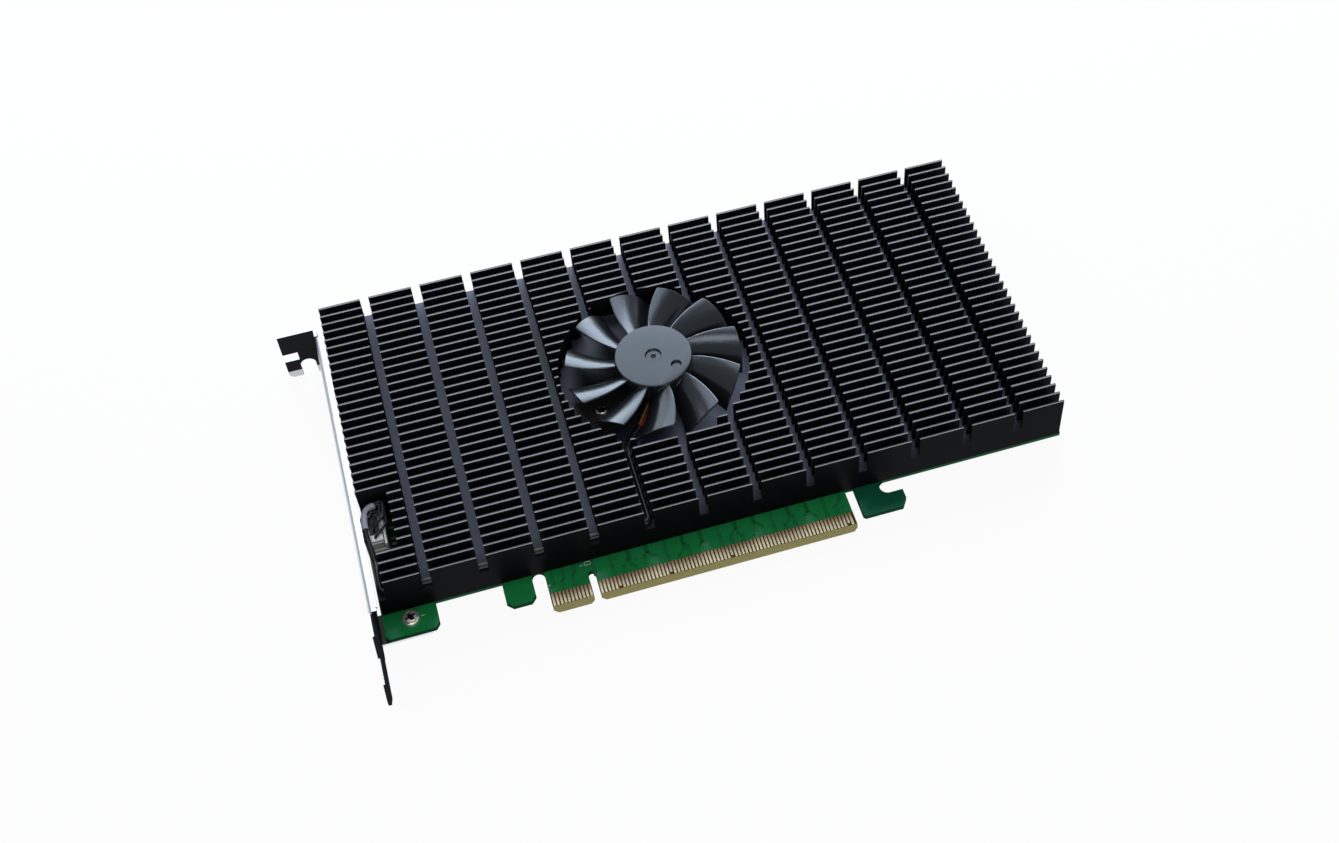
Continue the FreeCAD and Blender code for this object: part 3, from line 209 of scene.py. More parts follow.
def black_anodised():
    """Satin black aluminium: near-black walls, a deck painted grey-blue as light and darker as shade, and
    sawn fin tips with a painted highlight.
    """
    finish = Finish("black_anodised")
    low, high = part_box("heatsink")
    cloud = finish.noise(260.0)
    mottle = finish.noise(1500.0, 4.0, 0.7)
    y = finish.split("Object")["Y"]
    upward = finish.facing("Z", 0.6, 0.9)

    # Painted light and shade on the deck: lighter grey-blue on its upward faces, darker beside the fan,
    # and near-black where it runs out at the front.
    deck = finish.colours(mottle, (0.034, 0.039, 0.068), (0.078, 0.087, 0.138))
    shaded = finish.colours(mottle, (0.012, 0.013, 0.021), (0.028, 0.030, 0.044))
    beside_fan = finish.add("ShaderNodeVectorMath", {1: (12.0 * MM, 68.0 * MM, SINK_DECK)},
                            operation="DISTANCE")
    finish.feed(finish.place.outputs["Object"], beside_fan.inputs[0])
    deck = finish.colours(finish.ramp(beside_fan.outputs["Value"], 27.0 * MM, 20.0 * MM), deck, shaded)
    painted_front_shade = finish.colours(mottle, (0.007, 0.007, 0.010), (0.013, 0.013, 0.018))
    front = finish.ramp(y, low.y + 7.0 * MM, low.y + 0.5 * MM)
    deck = finish.colours(front, deck, painted_front_shade)

    # Painted light: the fins' upper halves are painted lighter than the front wall.
    walls = finish.colours(cloud, (0.0028, 0.0031, 0.0040), (0.0050, 0.0054, 0.0064))
    painted_fin_light = finish.multiply(finish.along("Z", 8.5 * MM, 14.0 * MM),
                                   finish.ramp(y, low.y + 0.6 * MM, low.y + 0.9 * MM))
    walls = finish.colours(painted_fin_light, walls, (0.017, 0.018, 0.023))

    # Each tip is bare along its front edge only, and that strip is also painted bright as a highlight.
    tips = finish.colours(cloud, (0.27, 0.26, 0.24), (0.37, 0.36, 0.33))
    across_fin = finish.work("MODULO", finish.work("SUBTRACT", y, low.y), FIN_PITCH)
    on_top = finish.multiply(finish.above("Z", high.z - 0.3 * MM), upward)
    bare = finish.multiply(on_top, finish.ramp(across_fin, 0.30 * MM, 0.20 * MM))
    finish.set(Base_Color=finish.colours(bare, finish.colours(upward, walls, deck), tips))

    sheen = finish.multiply(upward, finish.ramp(front, 0.0, 1.0, 1.0, 0.35))
    finish.set(Specular_IOR_Level=finish.ramp(sheen, 0.0, 1.0, 0.025, 0.65),
               Specular_Tint=(0.80, 0.87, 1.0, 1.0))
    finish.roughness(mottle, 0.40, 0.52)
    finish.bump(finish.noise(900.0, 3.0, 0.6, (0.06, 1.0, 1.0)), 0.012 * MM, 0.5)
    return finish.material


def solder_mask():
    """Green mask over copper, bare laminate on the connector's tongue, and raw edges."""
    finish = Finish("solder_mask")
    cloud = finish.noise(70.0)
    weave = finish.noise(1400.0, 2.0)
    upward = finish.facing("Z", 0.9, 0.97)
    faces = finish.sum(upward, finish.facing("Z", -0.9, -0.97))

    # The cut edge, painted greener below the heat sink as light.
    edge = finish.colours(weave, (0.010, 0.060, 0.026), (0.022, 0.100, 0.042))
    lit_edge = finish.colours(weave, (0.030, 0.150, 0.070), (0.050, 0.210, 0.100))
    below_sink = finish.multiply(finish.facing("Y", -0.9, -0.97),
                                 finish.along("Y", 10.5 * MM, 11.0 * MM))
    edge = finish.colours(below_sink, edge, lit_edge)

    # Painted shade: the mask is darker on the retention hook, and dark where the heat sink covers it.
    mask = finish.colours(cloud, (0.012, 0.25, 0.060), (0.020, 0.36, 0.095))
    painted_hook_shade = finish.colours(cloud, (0.005, 0.095, 0.045), (0.009, 0.150, 0.075))
    hook = finish.multiply(finish.along("X", 74.0 * MM, 74.6 * MM),
                           finish.along("Y", 13.4 * MM, 12.8 * MM))
    mask = finish.colours(finish.multiply(hook, upward), mask, painted_hook_shade)
    shaded = finish.colours(cloud, (0.003, 0.030, 0.013), (0.006, 0.052, 0.022))
    covered = finish.multiply(finish.along("Y", 13.0 * MM, 15.0 * MM), upward)
    mask = finish.colours(covered, mask, shaded)

    # The tongue: brown gaps between the contacts, and bare laminate below them.
    bare = finish.colours(weave, (0.42, 0.37, 0.14), (0.56, 0.50, 0.22))
    gaps = finish.colours(weave, (0.105, 0.052, 0.016), (0.165, 0.088, 0.030))
    tongue_skin = finish.colours(finish.along("Y", 1.62 * MM, 1.56 * MM), gaps, bare)
    tongue = finish.multiply(finish.along("Y", 5.62 * MM, 5.58 * MM),
                             finish.along("X", -13.0 * MM, -12.95 * MM))
    tongue = finish.multiply(tongue, finish.along("X", 73.0 * MM, 72.95 * MM))
    skin = finish.colours(faces, edge, mask)
    finish.set(Base_Color=finish.colours(tongue, skin, tongue_skin))

    coated = finish.multiply(faces, finish.ramp(tongue, 0.0, 1.0, 0.35, 0.0))
    finish.set(Specular_IOR_Level=coated, Specular_Tint=(0.25, 0.95, 0.80, 1.0),
               Coat_Weight=finish.ramp(coated, 0.0, 1.0, 0.0, 0.25), Coat_Roughness=0.15)
    finish.roughness(cloud, 0.24, 0.34)
    finish.bump(weave, 0.006 * MM, 0.4)
    return finish.material


def masked_copper():
    """A track seen through the mask."""
    finish = Finish("masked_copper")
    cloud = finish.noise(400.0, 2.0)
    finish.set(Base_Color=finish.colours(cloud, (0.007, 0.165, 0.042), (0.011, 0.225, 0.060)),
               Coat_Weight=0.3, Coat_Roughness=0.15)
    finish.roughness(cloud, 0.24, 0.34)
    return finish.material


def contact_gold():
    """Hard gold plate, pale towards the tip and brown further up."""
    finish = Finish("contact_gold")
    cloud = finish.noise(700.0, 2.0)
    pale = finish.colours(cloud, (0.90, 0.77, 0.50), (0.98, 0.88, 0.63))
    rise = finish.along("Y", 3.4 * MM, 6.0 * MM)
    finish.set(Metallic=0.5, Base_Color=finish.colours(rise, pale, (0.44, 0.25, 0.12)))
    finish.roughness(cloud, 0.30, 0.42)
    return finish.material


def fan_plastic():
    """Blue-grey satin plastic with a fine eroded grain."""
    finish = Finish("fan_plastic")
    cloud = finish.noise(150.0)
    grain = finish.noise(5200.0)
    finish.set(Base_Color=finish.colours(cloud, (0.009, 0.010, 0.012), (0.014, 0.016, 0.019)),
               Specular_IOR_Level=1.0, Specular_Tint=(0.76, 0.87, 1.0, 1.0))
    finish.roughness(grain, 0.20, 0.27)
    finish.bump(grain, 0.010 * MM, 0.5)
    return finish.material


def sleeve_black():
    """Thin shrink sleeve with the wires showing through it."""
    finish = Finish("sleeve_black")
    cloud = finish.noise(500.0, 3.0, 0.6, (1.0, 1.0, 2.0))
    finish.set(Base_Color=finish.colours(cloud, (0.005, 0.005, 0.006), (0.014, 0.014, 0.018)))
    finish.roughness(cloud, 0.22, 0.36)
    finish.bump(cloud, 0.08 * MM, 0.7)
    return finish.material


def plated_sheet():
    """Bright plated steel, painted dark and dull on the side that faces the card and on the cut edges
    that face the connector, as a painted reflection of a dark surround."""
    finish = Finish("bracket_sheet")
    cloud = finish.noise(60.0)
    drawn = finish.noise(700.0, 3.0, 0.6, (1.0, 0.03, 1.0))

    # Painted light and shade: the plate is painted lighter towards its tongue, and the ears behind the
    # board are painted dim on top as shade.
    bright = finish.colours(drawn, (0.50, 0.52, 0.54), (0.58, 0.595, 0.61))
    painted_light_to_tongue = finish.colours(drawn, (0.74, 0.80, 0.85), (0.82, 0.87, 0.91))
    bright = finish.colours(finish.along("Y", 95.0 * MM, 30.0 * MM), bright, painted_light_to_tongue)
    upright = finish.above("Z", -1.2 * MM)
    painted_shade_under_board = finish.multiply(finish.facing("Z", 0.6, 0.8), finish.ramp(upright, 0.0, 1.0, 1.0, 0.0))
    bright = finish.colours(painted_shade_under_board, bright, (0.16, 0.145, 0.135))

    # Painted reflection of a dark surround: the side towards the card, the edges that face the connector,
    # and the tongue's corner on that side are dark and not metallic.
    dark = finish.colours(cloud, (0.022, 0.022, 0.023), (0.034, 0.034, 0.036))
    cut = finish.multiply(finish.facing("Y", -0.45, -0.6), upright)
    corner = finish.multiply(finish.along("Y", 5.2 * MM, 4.8 * MM),
                             finish.along("X", -57.56 * MM, -57.48 * MM))
    painted_dark_reflection = finish.sum(finish.facing("X", 0.55, 0.8), cut)
    painted_dark_reflection = finish.sum(painted_dark_reflection, finish.multiply(corner, upright))
    plated = finish.ramp(painted_dark_reflection, 0.0, 1.0, 1.0, 0.0)
    finish.set(Base_Color=finish.colours(painted_dark_reflection, bright, dark), Metallic=plated,
               Specular_IOR_Level=plated)
    finish.roughness(cloud, 0.28, 0.36)
    finish.bump(drawn, 0.006 * MM, 0.4)
    return finish.material


def insulation(name, dark, light, plug_end_shade_colours):
    """Soft wire insulation, with painted shade at the plug's end: another, darker colour there, and
    near-black where it loops over the plug.
    """
    finish = Finish(name)
    cloud = finish.noise(700.0)
    # Painted shade at the plug's end, darkest where the wires loop over the plug.
    shaded_at_plug = finish.colours(cloud, *plug_end_shade_colours)
    shaded_at_plug = finish.colours(finish.along("Z", 9.5 * MM, 10.1 * MM), shaded_at_plug, (0.012, 0.012, 0.026))
    plug_end = finish.along("X", -40.0 * MM, -44.0 * MM)
    finish.set(Base_Color=finish.colours(plug_end, finish.colours(cloud, dark, light), shaded_at_plug))
    finish.roughness(cloud, 0.24, 0.36)
    finish.bump(cloud, 0.01 * MM, 0.5)
    return finish.material


# ---- pieces ------------------------------------------------------------------------------------

def dress(material, *nodes):
    """Gives CAD nodes their finish."""
    for node in nodes:
        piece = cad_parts[node]
        if not piece.material_slots:
            piece.data.materials.append(material)
        for spot in piece.material_slots:
            spot.material = material


def merged_copy(node):
    """A bmesh of a CAD node with its doubled corners joined."""
    shape = bmesh.new()
    shape.from_mesh(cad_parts[node].data)
    bmesh.ops.remove_doubles(shape, verts=shape.verts, dist=MERGE_DISTANCE)
    return shape


def new_object(name, shape):
    """Turns a bmesh into an object of the scene."""
    mesh = bpy.data.meshes.new(name)
    shape.to_mesh(mesh)
    shape.free()
    piece = bpy.data.objects.new(name, mesh)
    bpy.context.scene.collection.objects.link(piece)
    return piece


def finished(name, shape, body, material, nodes=(), sharp=35.0, bevel=0.0, clamp=True):
    """A piece that rides on a body and stands for some CAD nodes. Edges bent by more than sharp
    degrees stay crisp, or are rounded where a bevel is given."""
    for face in shape.faces:
        face.smooth = True
    for edge in shape.edges:
        if len(edge.link_faces) == 2:
            edge.smooth = edge.calc_face_angle(0.0) < math.radians(sharp)
    piece = new_object(name, shape)
    piece.data.materials.append(material)
    if bevel:
        rounding = piece.modifiers.new("rounding", "BEVEL")
        rounding.width = bevel
        rounding.segments = 2
        rounding.limit_method = "ANGLE"
        rounding.angle_limit = math.radians(sharp)
        rounding.use_clamp_overlap = clamp
    weighting = piece.modifiers.new("weighting", "WEIGHTED_NORMAL")
    weighting.keep_sharp = True
    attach(piece, body)
    if nodes:
        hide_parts(*nodes)


def smooth_copy(name, node, body, material, sharp, bevel=0.0, flatten=True, clamp=True):
    """A merged copy of a CAD part with soft normals; flatten dissolves the seams in flat faces."""
    shape = merged_copy(node)
    if flatten:
        bmesh.ops.dissolve_limit(shape, angle_limit=math.radians(0.4),
                                 verts=shape.verts, edges=shape.edges)
    finished(name, shape, body, material, [node], sharp, bevel, clamp)


def turn(shape, verts, angle, axis="Z"):
    """Turns some corners about an axis through the origin."""
    bmesh.ops.rotate(shape, verts=verts, cent=(0, 0, 0), matrix=Matrix.Rotation(angle, 3, axis))


def bar(shape, size, middle, angle=0.0):
    """A box of one size, turned about Z and moved to its middle."""
    verts = bmesh.ops.create_cube(shape, size=1.0)["verts"]
    bmesh.ops.scale(shape, verts=verts, vec=size)
    turn(shape, verts, angle)
    bmesh.ops.translate(shape, verts=verts, vec=middle)


def disc(shape, foot, head, height, middle, sides):
    """A short upright cone with a foot radius and a head radius."""
    made = bmesh.ops.create_cone(shape, cap_ends=True, segments=sides, radius1=foot, radius2=head,
                                 depth=height)
    bmesh.ops.translate(shape, verts=made["verts"], vec=middle)


# ---- screws ------------------------------------------------------------------------------------

# Head radius, head height, shank radius and shank length.
BRACKET_SCREW = (2.4 * MM, 1.7 * MM, 1.25 * MM, 2.4 * MM)
SINK_SCREW = (2.3 * MM, 1.4 * MM, 1.25 * MM, 5.7 * MM)
FAN_SCREW = (1.9 * MM, 1.0 * MM, 1.0 * MM, 3.4 * MM)

# A pan head's profile, as shares of its radius and its height.
PAN_PROFILE = ((0.0, 1.0), (0.40, 0.985), (0.70, 0.90), (0.88, 0.72), (0.97, 0.46), (1.0, 0.16),
               (0.985, 0.0))
SPIN_STEPS = 40

# The cross recess: lengths and widths are shares of the head's radius, and depths of its height.
CROSS_FOOT = (0.90, 0.34)
CROSS_MOUTH = (1.50, 0.52)
CROSS_DEPTH = 0.62
# The dark cross of painted shade in each recess: length, width and thickness as shares of the head's
# radius and height, and its level as a share of the height.
SHADE_SIZE = (1.46, 0.48, 0.1)
SHADE_LEVEL = 0.60


def cross_turn(number):
    """How far each screw of a set was left turned."""
    return math.radians(24.0 + 37.0 * number)


def islands(node):
    """The middle of each separate solid of a CAD node, in plan."""
    shape = merged_copy(node)
    left = set(shape.verts)
    places = []
    while left:
        seed = left.pop()
        group = {seed}
        queue = [seed]
        while queue:
            for edge in queue.pop().link_edges:
                for vert in edge.verts:
                    if vert in left:
                        left.discard(vert)
                        group.add(vert)
                        queue.append(vert)
        xs = [vert.co.x for vert in group]
        ys = [vert.co.y for vert in group]
        places.append(((min(xs) + max(xs)) / 2, (min(ys) + max(ys)) / 2))
    shape.free()
    return sorted(places)


def cross_cutter(radius, depth, top):
    """A tapered cross that carves a Phillips recess."""
    shape = bmesh.new()
    for quarter in (0.0, math.pi / 2):
        arm = bmesh.ops.create_cube(shape, size=1.0)["verts"]
        for vert in arm:
            low = vert.co.z < 0
            length, width = CROSS_FOOT if low else CROSS_MOUTH
            vert.co = Vector((vert.co.x * radius * length, vert.co.y * radius * width,
                              top + (-depth if low else 0.4 * depth)))
        turn(shape, arm, quarter)
    return new_object("cross_cutter", shape)


def pan_head_mesh(radius, height, shank, length):
    """One pan-head screw from its seat at the origin, with a Phillips recess."""
    profile = [(across * radius, up * height) for across, up in PAN_PROFILE]
    profile += [(shank, 0.0), (shank, -length), (0.0, -length)]
    shape = bmesh.new()
    points = [shape.verts.new((across, 0.0, up)) for across, up in profile]
    edges = [shape.edges.new(pair) for pair in zip(points, points[1:])]
    bmesh.ops.spin(shape, geom=points + edges, cent=(0, 0, 0), axis=(0, 0, 1), steps=SPIN_STEPS,
                   angle=math.tau, use_merge=True)
    bmesh.ops.remove_doubles(shape, verts=shape.verts, dist=0.001 * MM)
    bmesh.ops.recalc_face_normals(shape, faces=shape.faces)
    blank = new_object("pan_head", shape)
    cutter = cross_cutter(radius, CROSS_DEPTH * height, height)
    carve = blank.modifiers.new("recess", "BOOLEAN")
    carve.object = cutter
    carve.operation = "DIFFERENCE"
    carve.solver = "EXACT"
    carve.use_self = True
    view = bpy.context.evaluated_depsgraph_get()
    carved = bpy.data.meshes.new_from_object(blank.evaluated_get(view))
    for spare in (blank, cutter):
        bpy.data.objects.remove(spare)
    return carved


def pan_head_screws(name, node, seat, size, material, under_board=False):
    """A set of screws where the CAD has them, with their heads on a seat level."""
    carved = pan_head_mesh(*size)
    shape = bmesh.new()
    for number, (x, y) in enumerate(islands(node)):
        shape.from_mesh(carved)
        screw = list(shape.verts)[-len(carved.vertices):]
        turn(shape, screw, cross_turn(number))
        if under_board:
            turn(shape, screw, math.pi, "X")
        bmesh.ops.translate(shape, verts=screw, vec=(x, y, seat))
    finished(name, shape, "card", material, [node], 30.0)


def recess_shade_crosses(name, node, seat, size, material):
    """Dark crosses of painted shade in each recess."""
    radius, height = size[:2]
    length, width, thickness = SHADE_SIZE
    shape = bmesh.new()
    for number, (x, y) in enumerate(islands(node)):
        for quarter in (0.0, math.pi / 2):
            bar(shape, (length * radius, width * radius, thickness * height),
                (x, y, seat + SHADE_LEVEL * height), quarter + cross_turn(number))
    finished(name, shape, "card", material)


def build_screws(material):
    pan_head_screws("bracket_screw_heads", "bracket_screws", BOARD_TOP, BRACKET_SCREW, material)
    # Painted shade: dark crosses in the screw recesses.
    painted_recess_shade = moulded("recess_painted_shade", (0.012, 0.007, 0.005), (0.030, 0.018, 0.012), 0.4, 0.55)
    recess_shade_crosses("bracket_screw_recess_shade", "bracket_screws", BOARD_TOP, BRACKET_SCREW, painted_recess_shade)
    recess_shade_crosses("fan_screw_recess_shade", "fan_screws", FAN_BASE_TOP, FAN_SCREW, painted_recess_shade)
    pan_head_screws("heatsink_screw_heads", "heatsink_screws", BOARD_UNDER, SINK_SCREW, material,
                    under_board=True)
    nickel = metal("fan_screw_nickel", (0.66, 0.63, 0.58), (0.86, 0.82, 0.76), 0.14, 0.24)
    pan_head_screws("fan_screw_heads", "fan_screws", FAN_BASE_TOP, FAN_SCREW, nickel)


# ---- board details -----------------------------------------------------------------------------

# Plan sizes in millimetres.
TRACK_WIDTH = 0.28
PAIR_SHIFT = 0.55
TRACK_START = 5.6                # just above the contacts
TRACK_END = 13.4                 # under the heat sink's front
BUS_WIDTH = 0.2
BUS_PITCH = 0.55
INK_WIDTH = 0.22

# Lowest and highest level of what lies on each face of the board.
ON_TOP = (BOARD_TOP - 0.01 * MM, BOARD_TOP + 0.012 * MM)
UNDERNEATH = (BOARD_UNDER - 0.012 * MM, BOARD_UNDER + 0.01 * MM)
INK_LEVELS = (BOARD_TOP, BOARD_TOP + 0.012 * MM)


def strip(shape, points, width, levels):
    """A flat strip along a bent line in plan, in millimetres, between two levels."""
    low, high = levels
    for (x0, y0), (x1, y1) in zip(points, points[1:]):
        length = math.hypot(x1 - x0, y1 - y0) + width
        bar(shape, (length * MM, width * MM, high - low),
            ((x0 + x1) / 2 * MM, (y0 + y1) / 2 * MM, (low + high) / 2), math.atan2(y1 - y0, x1 - x0))


def connector_tracks(levels):
    """Pairs of tracks that leave the contacts and run in under the heat sink."""
    shape = bmesh.new()
    for pair in range(23):
        jog = (pair * 7 % 5 - 2) * 0.9
        bend = 6.6 + (pair * 5 % 7) * 0.45
        for shift in (0.0, PAIR_SHIFT):
            x = 2.5 + 3.0 * pair + shift
            strip(shape, [(x, TRACK_START), (x, bend), (x + jog, bend + abs(jog)), (x + jog, TRACK_END)],
                  TRACK_WIDTH, levels)
    for pair in range(3):
        for shift in (0.0, PAIR_SHIFT):
            x = -11.5 + 3.1 * pair + shift
            strip(shape, [(x, TRACK_START), (x, 7.4 + pair), (x + 0.8, 8.2 + pair), (x + 0.8, TRACK_END)],
                  TRACK_WIDTH, levels)
    return shape


def add_buses(shape):
    """Long buses on the solder side, from the connector to the drive sockets and the switch."""
    for lane in range(8):
        s = BUS_PITCH * lane
        for route in ([(14.0 + s, 13.0), (14.0 + s, 30.0 + s), (20.0 + s, 36.0 + s), (20.0 + s, 50.0)],
                      [(50.0 + s, 13.0), (50.0 + s, 24.0 + s), (43.0 + s, 31.0 + s), (43.0 + s, 50.0)],
                      [(24.0 + s, 73.0), (24.0 + s, 80.0 - s), (18.0 + s, 86.0 - s), (18.0 + s, 100.0)],
                      [(40.0 + s, 73.0), (40.0 + s, 84.0), (52.0 + s, 96.0), (52.0 + s, 104.0)],
                      [(-44.0, 30.0 + s), (-20.0, 30.0 + s), (-14.0, 24.0 + s), (4.0, 24.0 + s)]):
            strip(shape, route, BUS_WIDTH, UNDERNEATH)


def build_board_details():
    """Tracks under the mask, small plain marks in white ink, and vias."""
    copper = masked_copper()
    finished("front_tracks", connector_tracks(ON_TOP), "card", copper)
    back = connector_tracks(UNDERNEATH)
    add_buses(back)
    finished("solder_side_tracks", back, "card", copper)

    marks = bmesh.new()
    for line in ([(-1.3, 11.3), (0.3, 11.3), (0.6, 11.9), (0.3, 12.3), (-1.1, 12.2), (-1.3, 11.3)],
                 [(-2.5, 11.5), (-1.9, 11.5)],
                 [(-12.1, 7.3), (-12.1, 8.1), (-11.4, 8.2)],
                 [(-45.8, 9.5), (-45.0, 9.6)]):
        strip(marks, line, INK_WIDTH, INK_LEVELS)
    finished("ink_marks", marks, "card",
             moulded("white_ink", (0.74, 0.76, 0.74), (0.86, 0.88, 0.86), 0.5, 0.6))

    vias = bmesh.new()
    for number in range(24):
        x = 3.4 + 2.9 * number + (number * 3 % 4) * 0.3
        y = 6.9 + (number * 5 % 6) * 0.75
        disc(vias, 0.3 * MM, 0.3 * MM, 0.02 * MM, (x * MM, y * MM, 0.004 * MM), 14)
    finished("front_vias", vias, "card", copper)


# ---- bracket, hub, fan header and plug ---------------------------------------------------------

def blocks(name, corners, material, rounding=0.0):
    """Blocks between pairs of corners, with rounded edges, all in millimetres."""
    shape = bmesh.new()
    for low, high in corners:
        bar(shape, [(b - a) * MM for a, b in zip(low, high)],
            [(a + b) / 2 * MM for a, b in zip(low, high)])
    if rounding:
        bmesh.ops.bevel(shape, geom=shape.edges[:], offset=rounding * MM, segments=2,
                        affect="EDGES", profile=0.5, material=-1)
    finished(name, shape, "card", material)


def smooth_line(points, steps=8):
    """A curve through points in millimetres, with a few steps from each point to the next."""
    knots = [Vector(point) * MM for point in points]
    knots = [knots[0] * 2 - knots[1]] + knots + [knots[-1] * 2 - knots[-2]]
    line = []
    for before, start, end, after in zip(knots, knots[1:], knots[2:], knots[3:]):
        for step in range(steps):
            t = step / steps
            line.append(0.5 * (2 * start + (end - before) * t
                               + (2 * before - 5 * start + 4 * end - after) * t * t
                               + (3 * start - before - 3 * end + after) * t ** 3))
    line.append(knots[-2])
    return line


def pipe(shape, line, radius, sides=14):
    """A round tube along a line, with closed ends."""
    side = None
    last = None
    for number, point in enumerate(line):
        ahead = line[min(number + 1, len(line) - 1)] - line[max(number - 1, 0)]
        ahead.normalize()
        if side is None:
            side = ahead.orthogonal().normalized()
        side = (side - ahead * side.dot(ahead)).normalized()
        other = ahead.cross(side)
        ring = [shape.verts.new(point + (side * math.cos(math.tau * k / sides)
                                         + other * math.sin(math.tau * k / sides)) * radius)
                for k in range(sides)]
        if last:
            for k in range(sides):
                shape.faces.new((last[k], last[(k + 1) % sides], ring[(k + 1) % sides], ring[k]))
        else:
            shape.faces.new(ring[::-1])
        last = ring
    shape.faces.new(last)


def build_hub_dimple_shade():
    """A dark disc in the hub's gate dimple, painted shade."""
    low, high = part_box("fan_shaft")
    dimple_shade = bmesh.new()
    disc(dimple_shade, 0.55 * MM, 0.5 * MM, 0.06 * MM,
         ((low.x + high.x) / 2, (low.y + high.y) / 2, HUB_RECESS), 24)
    finished("hub_dimple_shade", dimple_shade, "fan_rotor",
             moulded("hub_dimple_shade", (0.004, 0.005, 0.006), (0.008, 0.009, 0.011), 0.6, 0.7))


def build_header_details():
    """The header's side walls and end lugs, the plug's grip, a dark block of painted shade on the plug,
    and a pale tube of painted highlight over the sleeve's loop.
    """
    blocks("header_walls", [((-50.55, 28.8, 3.0), (-49.95, 40.2, 8.5)),
                            ((-55.55, 28.9, 3.0), (-54.95, 35.6, 8.3))],
           moulded("header_wall", (0.86, 0.87, 0.86), (0.93, 0.94, 0.93), 0.4, 0.55), 0.12)
    blocks("header_lugs", [((-55.3, 28.1, 0.05), (-53.9, 28.75, 4.6)),
                           ((-51.6, 28.1, 0.05), (-50.3, 28.75, 4.6))],
           moulded("header_base", (0.56, 0.50, 0.28), (0.74, 0.69, 0.46), 0.4, 0.55), 0.1)
    blocks("plug_grip", [((-53.9, 30.1, 6.5), (-50.75, 31.9, 8.75))],
           moulded("plug_grip", (0.82, 0.84, 0.88), (0.90, 0.92, 0.95), 0.35, 0.5), 0.18)
    # Painted shade: a dark block on the plug's top, where its hollow lies in shade.
    blocks("plug_shade_block", [((-54.1, 32.6, 8.0), (-51.3, 38.4, 8.34))],
           moulded("recess_shade", (0.010, 0.010, 0.018), (0.022, 0.021, 0.036), 0.5, 0.6))
    # Painted highlight: a pale tube over the sleeve's loop stands for the light mirrored on the black
    # sleeve.
    highlight_loop = bmesh.new()
    pipe(highlight_loop, smooth_line([(-54.9, 33.6, 9.95), (-54.88, 35.6, 10.3), (-54.2, 38.2, 10.6),
                            (-52.9, 39.75, 10.65), (-51.3, 40.2, 10.6)]), 0.95 * MM)
    finished("sleeve_highlight_loop", highlight_loop, "card",
             moulded("sleeve_highlight_grey", (0.32, 0.335, 0.44), (0.56, 0.575, 0.69), 0.22, 0.34, 500.0,
                     0.05 * MM), sharp=60.0)


# ---- the whole card ----------------------------------------------------------------------------

# Painted shade: the colours of the wires at the plug's end.
SHADED_DARK_END = ((0.007, 0.007, 0.017), (0.013, 0.012, 0.034))
SHADED_MUSTARD_END = ((0.34, 0.22, 0.050), (0.44, 0.30, 0.080))
WIRES = (("black", (0.006, 0.006, 0.010), (0.012, 0.012, 0.018), SHADED_DARK_END),
         ("blue", (0.008, 0.010, 0.040), (0.014, 0.017, 0.065), SHADED_DARK_END),
         ("yellow", (0.50, 0.24, 0.025), (0.62, 0.32, 0.045), SHADED_MUSTARD_END),
         ("red", (0.34, 0.022, 0.010), (0.46, 0.035, 0.014), SHADED_DARK_END))


